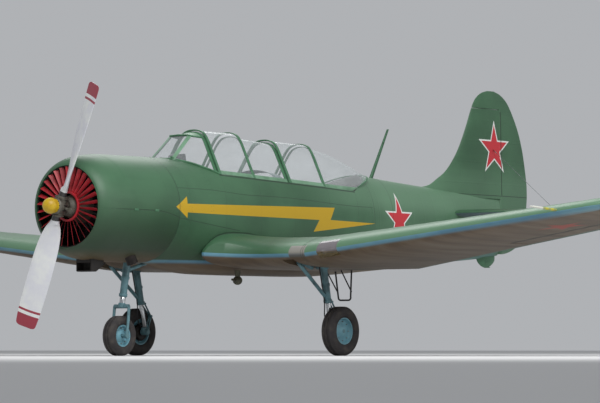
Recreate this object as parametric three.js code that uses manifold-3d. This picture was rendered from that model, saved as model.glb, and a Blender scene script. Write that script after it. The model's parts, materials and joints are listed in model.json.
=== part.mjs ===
// A two-seat, low-wing trainer with a radial engine, parked on its tricycle gear.
// Lengths are millimetres. Stations: x runs aft from a point just ahead of the spinner, y to the
// right, z up from the thrust line. The last group sets the stations down on the ground.
import * as THREE from 'three';
import { mergeVertices } from 'three/addons/utils/BufferGeometryUtils.js';
import Module from 'manifold-3d';

const wasm = await Module();
wasm.setup();

// Driving dimensions
const SPINNER_TIP = 54;
const TAIL_END = 8358;
const HALF_SPAN = 5300;
const THRUST_HEIGHT = 1470;
const SEAT_GAP = 0.3;
const CLEAR = 5;
const TAIL_EDGE = 1.5;
const BIG = 9000;

const PROP = { x: 270, lean: 21, hubRadius: 85, front: 190, rear: 356.7, capRadius: 80 };
const COWL = { rear: 1479.7, lip: 398 };
const SHUTTER = { front: 383, rear: 405, vanes: 30, vaneTurn: 52, vaneWidth: 30, vaneThick: 3 };
const FIREWALL = 1480.3;
const SPLIT = 4900;
const WING = { le: 2250, leZ: -440, rootY: 1460, chord: 2000, tipChord: 1150, tipStart: 4850,
  dihedral: 0.115, sweep: 0.01, thickness: 0.155, camber: 0.03, incidence: 3.6 };
const AILERON = { inner: 3150, outer: 4880, hinge: 0.76, endGap: 14 };
const FLAP = { front: 3620, rear: 4060, inner: 700, outer: 1400, thick: 18, tailThick: 8, shaft: 9 };
const TAIL = { hinge: 7800, hornZ: 1335 };
const JACK = { x: 2600, y: 1040, z: -600, radius: 32 };
const PLANE = { z: 120, inner: 135, outer: 1600, hinge: 7360, tube: 18 };
const MAIN = { x: 3030, y: 1360, legY: 1250, axleZ: -1220, radius: 250, width: 150, pivot: [2870, -520] };
const NOSE = { x: 1170, axleZ: -1270, radius: 200, width: 140, top: [1300, -470], bottom: [1205, -985] };
const FLOOR_Z = -450;
const SILL = { x: 2267, z: 378, slope: -0.04 };

// Small vector helpers
const v = (x, y, z) => new THREE.Vector3(x, y, z);
const mix = THREE.MathUtils.lerp;
const radians = THREE.MathUtils.degToRad;
const sillAt = (x) => SILL.z + SILL.slope * (x - SILL.x);

// Solids: three.js geometry in, a manifold solid out
function solid(geometry) {
  const bare = geometry.index ? geometry.toNonIndexed() : geometry.clone();
  for (const name of Object.keys(bare.attributes)) if (name !== 'position') bare.deleteAttribute(name);
  const merged = mergeVertices(bare, 1e-3);
  const mesh = new wasm.Mesh({
    numProp: 3,
    vertProperties: new Float32Array(merged.attributes.position.array),
    triVerts: new Uint32Array(merged.index.array),
  });
  return new wasm.Manifold(mesh);
}

function geometryOf(piece) {
  const { vertProperties, triVerts } = piece.getMesh();
  const geometry = new THREE.BufferGeometry();
  geometry.setAttribute('position', new THREE.BufferAttribute(vertProperties, 3));
  geometry.setIndex(new THREE.BufferAttribute(triVerts, 1));
  geometry.computeVertexNormals();
  return geometry;
}

const join = (first, ...rest) => rest.reduce((sum, piece) => sum.add(piece), first);
const cut = (first, ...rest) => rest.reduce((sum, piece) => sum.subtract(piece), first);
const common = (first, second) => first.intersect(second);

function box(x0, x1, y0, y1, z0, z1) {
  const geometry = new THREE.BoxGeometry(x1 - x0, y1 - y0, z1 - z0);
  return solid(geometry.translate((x0 + x1) / 2, (y0 + y1) / 2, (z0 + z1) / 2));
}

// A round rod from a to b, tapering from ra to rb
function rod(a, b, ra, rb = ra, sides = 12) {
  const along = b.clone().sub(a);
  const geometry = new THREE.CylinderGeometry(rb, ra, along.length(), sides);
  const turn = new THREE.Quaternion().setFromUnitVectors(v(0, 1, 0), along.clone().normalize());
  geometry.applyQuaternion(turn).translate(...a.clone().add(b).multiplyScalar(0.5));
  return solid(geometry);
}

// Rods end to end with a ball in each bend
function bentRod(points, radius, sides = 8) {
  let bent = rod(points[0], points[1], radius, radius, sides);
  for (let i = 1; i < points.length - 1; i++) {
    const ball = new THREE.SphereGeometry(radius * 1.03, sides, 4).translate(...points[i]);
    bent = join(bent, solid(ball), rod(points[i], points[i + 1], radius, radius, sides));
  }
  return bent;
}

// A profile of [x, radius] points turned about the thrust line
function turned(profile, sides) {
  const points = profile.map(([x, r]) => new THREE.Vector2(r, x));
  const geometry = new THREE.LatheGeometry(points, sides).rotateZ(-Math.PI / 2);
  return solid(facing(geometry));
}

// Turns a closed shape's faces outwards
function facing(geometry) {
  const flat = geometry.index ? geometry.toNonIndexed() : geometry;
  const p = flat.attributes.position;
  let volume = 0;
  for (let i = 0; i < p.count; i += 3) {
    const [a, b, c] = [0, 1, 2].map((k) => v().fromBufferAttribute(p, i + k));
    volume += a.dot(b.cross(c));
  }
  if (volume < 0) {
    for (let i = 0; i < p.count; i += 3) {
      const b = v().fromBufferAttribute(p, i + 1);
      const c = v().fromBufferAttribute(p, i + 2);
      p.setXYZ(i + 1, c.x, c.y, c.z);
      p.setXYZ(i + 2, b.x, b.y, b.z);
    }
  }
  return flat;
}

// A skin over closed rings of equal count; each end is closed by the faces that cap gives.
// From the crossed point on, the quads are parted along their other diagonal.
function skin(rings, cap, crossed = Infinity) {
  const faces = [];
  const count = rings[0].length;
  for (let i = 0; i < rings.length - 1; i++) {
    for (let j = 0; j < count; j++) {
      const k = (j + 1) % count;
      const [a, b, c, d] = [rings[i][j], rings[i][k], rings[i + 1][k], rings[i + 1][j]];
      faces.push(...(j < crossed ? [a, b, c, a, c, d] : [a, b, d, b, c, d]));
    }
  }
  for (const [a, b, c] of cap(rings[0])) faces.push(a, c, b);
  for (const [a, b, c] of cap(rings[rings.length - 1])) faces.push(a, b, c);
  return solid(facing(new THREE.BufferGeometry().setFromPoints(faces)));
}

// Ends closed by a fan about the ring's middle
const loft = (rings) => skin(rings, (ring) => {
  const middle = ring.reduce((sum, p) => sum.add(p), v(0, 0, 0)).divideScalar(ring.length);
  return ring.map((p, i) => [middle, p, ring[(i + 1) % ring.length]]);
});

// A wall between an outer and an inner curve at each station, with ends closed across the wall
const shell = (curves) => skin(curves.map(([outer, inner]) => [...outer, ...[...inner].reverse()]), (ring) => {
  const last = ring.length - 1;
  return ring.slice(0, ring.length / 2 - 1).flatMap((p, i) => [
    [p, ring[i + 1], ring[last - i - 1]], [p, ring[last - i - 1], ring[last - i]]]);
}, curves[0][0].length);

// A side-view outline of [x, z] points, as thick as y0 to y1
function sidePrism(outline, y0, y1) {
  const shape = new THREE.Shape(outline.map(([x, z]) => new THREE.Vector2(x, z)));
  const geometry = new THREE.ExtrudeGeometry(shape, { depth: y1 - y0, bevelEnabled: false });
  return solid(facing(geometry.rotateX(Math.PI / 2).translate(0, y1, 0)));
}

// A plan-view outline of [x, y] points, as tall as z0 to z1
function planPrism(outline, z0, z1) {
  const shape = new THREE.Shape(outline.map(([x, y]) => new THREE.Vector2(x, y)));
  const geometry = new THREE.ExtrudeGeometry(shape, { depth: z1 - z0, bevelEnabled: false });
  return solid(facing(geometry.translate(0, 0, z0)));
}

// Half thickness of a streamlined section at a fraction of its chord, per unit of thickness
const sectionHalf = (f) => 5 * (0.2969 * Math.sqrt(f) - 0.126 * f - 0.3516 * f ** 2
  + 0.2843 * f ** 3 - 0.1036 * f ** 4);
const camberLine = (f, m) => (f < 0.4 ? (m / 0.16) * (0.8 * f - f * f) : (m / 0.36) * (0.2 + 0.8 * f - f * f));

// A streamlined ring of [along, across] points, round the nose from tail to tail
function streamline(chord, thickness, camber, incidence, steps = 8, grow = 0) {
  const ring = [];
  const turn = radians(incidence);
  for (let i = -steps; i <= steps; i++) {
    const f = (1 - Math.cos((Math.PI * i) / steps)) / 2;
    const side = i < 0 ? 1 : -1;
    const half = i === 0 ? 0 : sectionHalf(f) * thickness * chord + TAIL_EDGE * f + grow;
    const along = f * chord;
    const across = camberLine(f, camber) * chord + side * half;
    ring.push([along * Math.cos(turn) + across * Math.sin(turn), across * Math.cos(turn) - along * Math.sin(turn)]);
  }
  return ring;
}

// Wing
function wingAt(y) {
  const out = Math.abs(y) - WING.rootY;
  if (out <= 0) return { le: WING.le, z: WING.leZ, chord: WING.chord, thickness: WING.thickness };
  const part = out / (HALF_SPAN - WING.rootY);
  let le = WING.le + WING.sweep * out;
  let chord = mix(WING.chord, WING.tipChord, part);
  const tip = Math.min(0.995, Math.max(0, (Math.abs(y) - WING.tipStart) / (HALF_SPAN - WING.tipStart)));
  const round = Math.sqrt(1 - tip * tip);
  le += 0.42 * chord * (1 - round);
  chord *= round;
  return { le, z: WING.leZ + WING.dihedral * out, chord, thickness: mix(WING.thickness, 0.11, part) };
}

function wingRing(y, grow = 0) {
  const w = wingAt(y);
  const ring = streamline(w.chord + 2 * grow, w.thickness, WING.camber, WING.incidence, 9, grow);
  return ring.map(([x, z]) => v(w.le - grow + x, y, w.z + z));
}

// A point on the wing at a fraction of its chord: the middle of its thickness, and half that
function wingMiddle(y, f) {
  const w = wingAt(y);
  const turn = radians(WING.incidence);
  const rise = camberLine(f, WING.camber) * w.chord;
  return {
    point: v(w.le + f * w.chord * Math.cos(turn), y, w.z + rise - f * w.chord * Math.sin(turn)),
    half: sectionHalf(f) * w.thickness * w.chord,
  };
}

const wingLower = (x) => {
  const { point, half } = wingMiddle(0, (x - WING.le) / WING.chord);
  return point.z - half - 1.5;
};

function outerWing(side) {
  const spans = [WING.rootY + SEAT_GAP, 2810, 3900, WING.tipStart];
  for (const step of [0.45, 0.75, 0.92, 0.995]) spans.push(mix(WING.tipStart, HALF_SPAN, step));
  spans[spans.length - 1] = HALF_SPAN;
  return loft(spans.map((y) => wingRing(side * y)));
}

// Hinged surfaces: a round nose about the hinge line, in a hollow that is CLEAR wider
function hingeLine(a, b, ra, rb, beyond = CLEAR) {
  const along = b.clone().sub(a).normalize();
  return {
    nose: rod(a, b, ra, rb, 16),
    hollow: rod(a.clone().addScaledVector(along, -beyond), b.clone().addScaledVector(along, beyond),
      ra + CLEAR, rb + CLEAR, 16),
    at: (part) => a.clone().lerp(b, part),
    radius: (part) => mix(ra, rb, part),
    along,
  };
}

// A hinge: a lug on the fixed side, seated in a slot in the moving one
function hinge(line, part, forward, height = 26) {
  const centre = line.at(part);
  const square = forward.clone().addScaledVector(line.along, -forward.dot(line.along)).normalize();
  const r = line.radius(part);
  const end = (s) => centre.clone().addScaledVector(line.along, s);
  const lug = join(
    rod(end(-height / 2 + SEAT_GAP), end(height / 2 - SEAT_GAP), 0.6 * r, 0.6 * r, 8),
    rod(centre, centre.clone().addScaledVector(square, r + 30), 8, 8, 6),
  );
  return { lug, slot: rod(end(-height / 2), end(height / 2), r + CLEAR + 2, r + CLEAR + 2, 12) };
}

function addHinges(line, parts, forward, fixed, moving) {
  for (const part of parts) {
    const { lug, slot } = hinge(line, part, forward);
    fixed = join(fixed, lug);
    moving = cut(moving, slot);
  }
  return [fixed, moving];
}

// Ailerons
function wingAndAileron(side) {
  const wing = outerWing(side);
  const inner = wingMiddle(side * AILERON.inner, AILERON.hinge);
  const outer = wingMiddle(side * AILERON.outer, AILERON.hinge);
  const line = hingeLine(inner.point, outer.point, inner.half, outer.half, AILERON.endGap);
  const taper = (outer.point.x - inner.point.x) / (AILERON.outer - AILERON.inner);
  const aft = (margin) => planPrism([
    [inner.point.x - taper * margin, side * (AILERON.inner - margin)],
    [outer.point.x + taper * margin, side * (AILERON.outer + margin)],
    [BIG, side * (AILERON.outer + margin)], [BIG, side * (AILERON.inner - margin)],
  ], -BIG, BIG);
  const aileron = common(wing, join(aft(0), line.nose));
  const fixed = cut(wing, aft(AILERON.endGap), line.hollow);
  return addHinges(line, [0.08, 0.5, 0.92], v(-1, 0, 0), fixed, aileron);
}

// Flap: two panels on one shaft under the centre section
function flapSolids() {
  const zFront = wingLower(FLAP.front);
  const zRear = wingLower(FLAP.rear);
  const shaftZ = zFront + FLAP.thick + 1;
  const nose = FLAP.front - 8;
  let flap = rod(v(FLAP.front, -FLAP.outer, shaftZ), v(FLAP.front, FLAP.outer, shaftZ), FLAP.shaft, FLAP.shaft, 12);
  let room = rod(v(FLAP.front, -FLAP.outer - 2, shaftZ), v(FLAP.front, FLAP.outer + 2, shaftZ), FLAP.shaft + 0.8,
    FLAP.shaft + 0.8, 12);
  for (const side of [-1, 1]) {
    const [y0, y1] = side < 0 ? [-FLAP.outer, -FLAP.inner] : [FLAP.inner, FLAP.outer];
    const plate = [[nose, zFront + 2], [FLAP.rear, zRear + 2], [FLAP.rear, zRear + FLAP.tailThick],
      [nose, zFront + FLAP.thick]];
    flap = join(flap, sidePrism(plate, y0, y1));
    const pocket = [[nose - 22, zFront - 60], [FLAP.rear + 8, zRear - 60], [FLAP.rear + 8, zRear + 14],
      [FLAP.front + 60, zFront + 26], [FLAP.front, zFront + 40], [nose - 22, zFront + 36]];
    room = join(room, sidePrism(pocket, y0 - 6, y1 + 6));
  }
  return { flap, room };
}

// Fuselage sections: station, top, widest height, bottom, half width, roundness above, below
const SECTIONS = [
  [1480.3, 535, 0, -535, 535, 2.0, 2.0],
  [1650, 533, -5, -562, 527, 2.05, 2.1],
  [1900, 535, -20, -602, 508, 2.2, 2.3],
  [2200, 548, -30, -632, 490, 2.4, 2.5],
  [2600, 560, -40, -640, 475, 2.6, 2.6],
  [3300, 555, -50, -640, 465, 2.6, 2.6],
  [4100, 530, -50, -635, 442, 2.5, 2.5],
  [4600, 500, -45, -607, 408, 2.3, 2.3],
  [5110, 476, -35, -568, 360, 2.1, 2.1],
  [5700, 438, -20, -522, 300, 2.0, 2.0],
  [6300, 400, -10, -470, 230, 2.0, 2.0],
  [6900, 372, -5, -418, 155, 2.0, 2.0],
  [7400, 352, 0, -377, 92, 2.0, 2.0],
  [7795, 340, 0, -330, 46, 2.2, 2.2],
];

function bodyRing([x, top, middle, bottom, half, above, below], inset = 0, count = 32) {
  const ring = [];
  for (let i = 0; i < count; i++) {
    const a = (2 * Math.PI * i) / count;
    const power = Math.sin(a) >= 0 ? above : below;
    const reach = (Math.sin(a) >= 0 ? top - middle : middle - bottom) - inset;
    const across = Math.sign(Math.cos(a)) * Math.abs(Math.cos(a)) ** (2 / power);
    const up = Math.sign(Math.sin(a)) * Math.abs(Math.sin(a)) ** (2 / power);
    ring.push(v(x, (half - inset) * across, middle + reach * up));
  }
  return ring;
}

function sectionAt(x) {
  const i = Math.max(1, SECTIONS.findIndex((row) => row[0] >= x));
  const part = (x - SECTIONS[i - 1][0]) / (SECTIONS[i][0] - SECTIONS[i - 1][0]);
  return SECTIONS[i].map((value, k) => (k === 0 ? x : mix(SECTIONS[i - 1][k], value, part)));
}

function body(x0, x1, inset = 0, count = 32) {
  const rows = SECTIONS.filter((row) => row[0] > x0 + 1 && row[0] < x1 - 1);
  return loft([sectionAt(x0), ...rows, sectionAt(x1)].map((row) => bodyRing(row, inset, count)));
}

// Canopy arches: lower station, half width at the sill, upper station, top height
const CANOPY = {
  frame: 10,
  glass: 4,
  roof: 0.42,
  shoulder: 52,
  roundness: 2.5,
  windscreen: { base: 1800, baseZ: 534, baseHalf: 140, top: 2095, topZ: 775, topHalf: 120 },
  fixed: { front: [2267, 372, 2310, 826], centreFront: [2866, 372, 2900, 806], centreRear: [3430, 370, 3470, 768],
    tailFront: [4064, 362, 4105, 752], tailMiddle: [4350, 346, 4620, 668], tailRear: [4609, 318, 5105, 482] },
  hoods: { frontA: [2273, 394, 2316, 848], frontB: [2860, 394, 2894, 842], rearA: [3436, 392, 3476, 796],
    rearB: [4058, 384, 4100, 776] },
};
const ARCH_STEPS = 14;
const POST_PARTS = [0, 0.75, 0.87, 0.95, 1];

// A quadratic curve's points after its first one
function bend(start, pull, end, steps = 3) {
  const curve = new THREE.QuadraticBezierCurve(start, pull, end);
  return curve.getPoints(steps).slice(1);
}

// Half an arch from its foot to its crown, as [across, up]: straight sides, round shoulders, a low roof
function archSide(half, foot, top) {
  const point = (y, z) => new THREE.Vector2(y, z);
  const corner = point(CANOPY.roof * half, top - CANOPY.shoulder);
  const pull = point(0.45 * corner.x, top);
  const start = point(half, foot);
  const shoulder = corner.clone().lerp(start, 0.22);
  const roof = corner.clone().lerp(pull, 0.5);
  return [start, shoulder, ...bend(shoulder, corner, roof), ...bend(roof, pull, point(0, top))];
}

// The tail's last arch is low and round
function roundSide(half, foot, top) {
  return Array.from({ length: ARCH_STEPS / 2 + 1 }, (_, i) => {
    const a = (Math.PI * i) / ARCH_STEPS;
    const [across, up] = [Math.cos(a), Math.sin(a)].map((value) => Math.max(0, value) ** (2 / CANOPY.roundness));
    return new THREE.Vector2(i === ARCH_STEPS / 2 ? 0 : half * across, foot + (top - foot) * up);
  });
}

// Points over an arch from the left sill to the right one, set in by a distance
function archCurve(arch, inset) {
  const [x0, half, x1, top] = arch;
  const foot = sillAt(x0) + SEAT_GAP;
  const side = (arch === CANOPY.fixed.tailRear ? roundSide : archSide)(half - inset, foot, top - inset);
  const place = (sign) => ({ x: y, y: z }) => v(mix(x0, x1, (z - foot) / (top - inset - foot)), sign * y, z);
  return [...side.map(place(-1)), ...side.slice(0, -1).reverse().map(place(1))];
}

// The windscreen pane's direction in the side view, as [aft, up]
const paneSlope = () => {
  const w = CANOPY.windscreen;
  const length = Math.hypot(w.top - w.base, w.topZ - w.baseZ);
  return [(w.top - w.base) / length, (w.topZ - w.baseZ) / length];
};

// The windscreen's front edge, with as many points as an arch
function frontCurve(inset) {
  const w = CANOPY.windscreen;
  const [run, climb] = paneSlope();
  const baseX = w.base + inset / climb;
  const topX = w.top + (inset * (1 - run)) / climb;
  const points = [];
  for (let i = 0; i <= ARCH_STEPS; i++) {
    const rise = POST_PARTS.length - 1;
    const up = POST_PARTS[Math.min(i, ARCH_STEPS - i, rise)];
    const flat = THREE.MathUtils.clamp((i - rise) / (ARCH_STEPS - 2 * rise), 0, 1);
    const half = mix(w.baseHalf, w.topHalf, up) - inset;
    points.push(v(mix(baseX, topX, up), mix(-half, half, flat), mix(w.baseZ, w.topZ - inset, up) + SEAT_GAP));
  }
  return points;
}

const archShell = (arches, from, thick) => shell(arches.map((a) => [archCurve(a, from), archCurve(a, from + thick)]));

// Window openings between two leaning arches, cut right across
function windowBetween(a, b, edge, rail) {
  const low = (arch, shift) => [arch[0] + shift, sillAt(arch[0]) + rail];
  const high = (arch, shift) => {
    const lean = (arch[2] - arch[0]) / (arch[3] - sillAt(arch[0]));
    return [arch[2] + shift + lean * 200, arch[3] + 200];
  };
  return sidePrism([low(a, edge), low(b, -edge), high(b, -edge), high(a, edge)], -600, 600);
}

function archPieces(...arches) {
  const window = windowBetween(arches[0], arches[arches.length - 1], 26, 34);
  return {
    frame: cut(archShell(arches, 0, CANOPY.frame), window),
    glass: archShell(arches, CANOPY.frame + SEAT_GAP, CANOPY.glass),
  };
}

// Windscreen: a flat front pane and curved sides up to the first arch
function windscreenPieces() {
  const arch = CANOPY.fixed.front;
  const w = CANOPY.windscreen;
  const [run, climb] = paneSlope();
  const skin = (from, thick) => {
    const frontOut = frontCurve(from);
    const frontIn = frontCurve(from + thick);
    const sides = shell([[frontOut, frontIn], [archCurve(arch, from), archCurve(arch, from + thick)]]);
    const pane = loft([frontOut, frontOut.map((p) => p.clone().add(v(thick * climb, 0, -thick * run)))]);
    return { sides, pane };
  };
  const outer = skin(0, CANOPY.frame);
  const inner = skin(CANOPY.frame + SEAT_GAP, CANOPY.glass);
  const side = sidePrism([[w.base + 75, w.baseZ + 12], [arch[0] - 26, sillAt(arch[0]) + 40],
    [arch[2] - 60, arch[3] - 75], [w.top + 45, w.topZ - 40]], -600, 600);
  const roof = planPrism([[w.top + 40, -w.topHalf + 24], [arch[2] - 40, -w.topHalf], [arch[2] - 40, w.topHalf],
    [w.top + 40, w.topHalf - 24]], w.topZ - 90, 1200);
  const front = loft([-1, 1].map((s) => [
    v(w.base + 14, -w.baseHalf + 28, w.baseZ + 26), v(w.top - 10, -w.topHalf + 20, w.topZ - 22),
    v(w.top - 10, w.topHalf - 20, w.topZ - 22), v(w.base + 14, w.baseHalf - 28, w.baseZ + 26),
  ].map((p) => p.add(v(s * 60, 0, -s * 50)))));
  return {
    frame: cut(join(outer.sides, outer.pane), side, roof, front, hullRoom),
    glass: cut(join(inner.sides, inner.pane), hullRoom),
  };
}

// Fin and rudder outline: height, leading edge, trailing edge, half thickness
const FIN_ROWS = [
  [-329, 7600, 7790, 20],
  [-300, 7600, 7965, 40],
  [-235, 7600, 8130, 44],
  [-124, 7600, 8245, 46],
  [-19, 7600, 8308, 48],
  [330, 6000, TAIL_END, 52],
  [425, 6420, 8357, 52],
  [503, 6590, 8352, 50],
  [591, 6750, 8336, 48],
  [747, 6915, 8302, 46],
  [902, 7030, 8260, 43],
  [1105, 7145, 8177, 38],
  [1308, 7245, 8050, 32],
  [1431, 7326, 7945, 26],
  [1509, 7444, 7812, 18],
  [1541, 7560, 7700, 8],
];

function finRing([z, le, te, half]) {
  return streamline(te - le, half / (te - le) / 0.5, 0, 0, 8).map(([x, y]) => v(le + x, y, z));
}

function tailSolids(rear) {
  const whole = loft(FIN_ROWS.map(finRing));
  const low = v(TAIL.hinge, 0, -360);
  const high = v(TAIL.hinge, 0, TAIL.hornZ);
  const line = hingeLine(low, high, 58, 24);
  const aft = box(TAIL.hinge, BIG, -500, 500, -BIG, TAIL.hornZ + 1);
  const horn = (z) => box(6000, BIG, -500, 500, z, BIG);
  let rudder = common(whole, join(aft, line.nose, horn(TAIL.hornZ)));
  let fin = cut(common(whole, box(6000, BIG, -500, 500, 332, BIG)), aft, line.hollow, horn(TAIL.hornZ - CLEAR - 1));
  let stern = cut(rear, line.hollow, box(TAIL.hinge - 4, BIG, -500, 500, -BIG, BIG));
  fin = cut(fin, body(5800, 7795, -SEAT_GAP));
  [fin, rudder] = addHinges(line, [0.68, 0.95], v(-1, 0, 0), fin, rudder);
  [stern, rudder] = addHinges(line, [0.1], v(-1, 0, 0), stern, rudder);
  return { fin, rudder, stern };
}

// Tailplane and elevator: half span, leading edge, chord
const PLANE_ROWS = [
  [0, 6690, 1045], [300, 6715, 1018], [1450, 6850, 842], [1620, 6905, 745], [1710, 6985, 590], [1750, 7120, 330],
];

function tailplaneSolids() {
  const half = (side, from) => {
    const rows = PLANE_ROWS.map((row) => [...row]);
    const first = rows[0];
    first[0] = from;
    return loft(rows.map(([y, le, chord]) => streamline(chord, 0.085, 0, 0, 8)
      .map(([x, z]) => v(le + x, side * y, PLANE.z + z))));
  };
  const pieces = {};
  const block = (side, x, y0, y1) => (side < 0 ? box(x, BIG, -y1, -y0, -BIG, BIG) : box(x, BIG, y0, y1, -BIG, BIG));
  const tube = rod(v(PLANE.hinge, -200, PLANE.z), v(PLANE.hinge, 200, PLANE.z), PLANE.tube, PLANE.tube, 16);
  let elevator = tube;
  for (const [name, side] of [['left', -1], ['right', 1]]) {
    const whole = half(side, 0);
    const line = hingeLine(v(PLANE.hinge, side * PLANE.inner, PLANE.z),
      v(PLANE.hinge, side * PLANE.outer, PLANE.z), 32, 25);
    const aft = block(side, PLANE.hinge, 0, BIG);
    const moving = common(common(whole, join(aft, line.nose)), block(side, 7000, PLANE.inner, PLANE.outer));
    const behind = block(side, PLANE.hinge, 0, PLANE.outer + CLEAR);
    let fixed = cut(whole, behind, line.hollow, tubeHole, body(6300, 7795, -SEAT_GAP));
    let surface = moving;
    [fixed, surface] = addHinges(line, [0.4, 0.93], v(-1, 0, 0), fixed, surface);
    pieces[name] = fixed;
    elevator = join(elevator, surface);
  }
  return { ...pieces, elevator };
}

// Wheels: half a tyre's outline as [across, radius]
function wheel(at, radius, width, bore) {
  const half = width / 2;
  const bead = radius * 0.54;
  const tyre = [[-half * 0.62, bead], [-half * 0.95, radius * 0.68], [-half, radius * 0.8],
    [-half * 0.8, radius * 0.94], [-half * 0.36, radius], [half * 0.36, radius], [half * 0.8, radius * 0.94],
    [half, radius * 0.8], [half * 0.95, radius * 0.68], [half * 0.62, bead], [-half * 0.62, bead]];
  const rim = [[-half * 0.62, bead - SEAT_GAP], [-half * 0.62, bead - 14], [-half * 0.25, bead * 0.6],
    [-half * 0.5, bead * 0.4], [-half * 0.5, bore], [half * 0.5, bore], [half * 0.5, bead * 0.4],
    [half * 0.25, bead * 0.6], [half * 0.62, bead - 14], [half * 0.62, bead - SEAT_GAP],
    [-half * 0.62, bead - SEAT_GAP]];
  const upright = (profile, sides) => {
    const points = profile.map(([y, r]) => new THREE.Vector2(r, y));
    const geometry = new THREE.LatheGeometry(points, sides);
    return solid(facing(geometry.translate(at.x, at.y, at.z)));
  };
  return { tyre: upright(tyre, 24), rim: upright(rim, 24) };
}

// Main gear: the leg stands inboard of its wheel on a stub axle
function mainLeg(side, wing) {
  const y = side * MAIN.legY;
  const top = v(MAIN.pivot[0], y, MAIN.pivot[1]);
  const foot = v(MAIN.x, y, MAIN.axleZ);
  const neck = top.clone().lerp(foot, 0.6);
  const leg = join(
    rod(top.clone().add(v(0, 0, 40)), neck, 42, 38, 12),
    rod(neck, foot, 27, 27, 12),
    rod(v(MAIN.pivot[0], y - 70, MAIN.pivot[1] - 50), v(MAIN.pivot[0], y + 70, MAIN.pivot[1] - 50), 24, 24, 8),
    rod(v(MAIN.x, y - side * 34, MAIN.axleZ), v(MAIN.x, side * (MAIN.y + 46), MAIN.axleZ), 20, 20, 16),
    rod(v(MAIN.x, y - side * 36, MAIN.axleZ), v(MAIN.x, y + side * 36, MAIN.axleZ), 36, 36, 12),
    bentRod([neck.clone().add(v(14, 0, 24)), v(MAIN.x + 96, y, mix(neck.z, foot.z, 0.42)), foot.clone().add(v(10, 0, 4))],
      11, 6),
    rod(neck.clone().add(v(-4, 0, 30)), v(2470, y, -480), 20, 20, 8),
  );
  return cut(leg, wing);
}

// Nose gear: a fixed upper leg, and a fork that steers about the leg's own line
function noseGear(hull) {
  const top = v(NOSE.top[0], 0, NOSE.top[1]);
  const bottom = v(NOSE.bottom[0], 0, NOSE.bottom[1]);
  const along = bottom.clone().sub(top).normalize();
  const at = (s) => top.clone().addScaledVector(along, s);
  const length = top.distanceTo(bottom);
  const leg = join(
    rod(top, at(length - 105), 38, 36, 14),
    rod(at(150), v(1720, 0, -500), 18, 18, 8),
    rod(v(top.x + 12, -80, -500), v(top.x + 12, 80, -500), 20, 20, 8),
    rod(v(top.x, -70, -500), v(1500, -110, -430), 16, 16, 8),
    rod(v(top.x, 70, -500), v(1500, 110, -430), 16, 16, 8),
  );
  const crown = at(length - 10);
  const armY = NOSE.width / 2 + 24;
  const axle = v(NOSE.x, 0, NOSE.axleZ);
  let fork = join(
    rod(at(length - 105 + SEAT_GAP), crown, 30, 30, 14),
    rod(crown.clone().add(v(0, -armY, 0)), crown.clone().add(v(0, armY, 0)), 20, 20, 12),
    rod(axle.clone().add(v(0, -armY - 14, 0)), axle.clone().add(v(0, armY + 14, 0)), 14, 14, 16),
  );
  for (const side of [-1, 1]) {
    fork = join(fork, bentRod([crown.clone().add(v(0, side * armY, 0)), axle.clone().add(v(0, side * armY, 0))], 15, 10));
  }
  return { leg: cut(leg, hull), fork };
}

// Propeller blade: radius, chord, thickness, pitch in degrees
const BLADE = [
  [105, 78, 78, 48], [210, 96, 62, 46], [250, 158, 54, 45], [330, 200, 44, 42], [480, 230, 34, 36],
  [720, 240, 25, 29], [930, 242, 18, 24], [1090, 236, 13, 21], [1200, 222, 9, 19], [1248, 205, 6, 18],
  [1270, 140, 4, 18],
];

function bladeSolid(turn) {
  const rings = BLADE.map(([r, chord, thick, pitch], row) => {
    const a = radians(pitch);
    const ring = [];
    for (let i = 0; i < 12; i++) {
      const t = (2 * Math.PI * i) / 12;
      const along = (chord / 2) * Math.cos(t);
      const across = (thick / 2) * Math.sin(t) * (row > 1 ? 1 - 0.45 * Math.cos(t) : 1);
      ring.push(v(along * Math.sin(a) + across * Math.cos(a), along * Math.cos(a) - across * Math.sin(a), r));
    }
    return ring;
  });
  const place = new THREE.Matrix4().makeRotationX(turn).setPosition(PROP.x, 0, 0);
  return loft(rings.map((ring) => ring.map((p) => p.applyMatrix4(place))));
}

function hubSolid() {
  const lean = radians(PROP.lean);
  const spin = v(0, -Math.sin(lean), Math.cos(lean));
  const across = v(0, Math.cos(lean), Math.sin(lean));
  const centre = v(PROP.x, 0, 0);
  const out = (dir, s) => centre.clone().addScaledVector(dir, s);
  let hub = turned([[PROP.front, 0], [PROP.front, 62], [PROP.x - 55, PROP.hubRadius], [PROP.x + 55, PROP.hubRadius],
    [PROP.x + 67, 60], [PROP.rear, 60], [PROP.rear, 0]], 20);
  for (const s of [-1, 1]) {
    hub = join(hub, rod(out(spin, s * 40), out(spin, s * 104.7), 52, 46, 12),
      rod(out(across, s * 50), out(across, s * 128).add(v(18, 0, 0)), 16, 14, 8),
      rod(out(across, s * 120).add(v(18, 0, 0)), out(across, s * 158).add(v(18, 0, 0)), 30, 30, 10));
  }
  const cap = turned([[SPINNER_TIP, 0], [59, 26], [76, 52], [104, 71], [144, PROP.capRadius],
    [PROP.front - SEAT_GAP, PROP.capRadius], [PROP.front - SEAT_GAP, 0]], 20);
  return { hub, cap };
}

// Cowl, shutter and engine
const COWL_OUTER = [[375, 405], [385, 430], [417, 459], [470, 486], [555, 510], [690, 527], [850, 535],
  [COWL.rear, 535]];
const COWL_INNER = [[COWL.rear, 525], [850, 525], [690, 516], [555, 498], [470, 474], [422, 449], [405, COWL.lip],
  [377, COWL.lip]];

const cowlShell = () => turned([...COWL_OUTER, ...COWL_INNER, COWL_OUTER[0]], 30);

// The cowl's whole inside and wall, a gap wider all round
function cowlSpace(gap) {
  const outer = COWL_OUTER.map(([x, r]) => [x === COWL.rear ? x + gap : x - gap, r + gap]);
  return turned([[outer[0][0], 0], ...outer, [COWL.rear + gap, 0]], 30);
}

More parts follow.
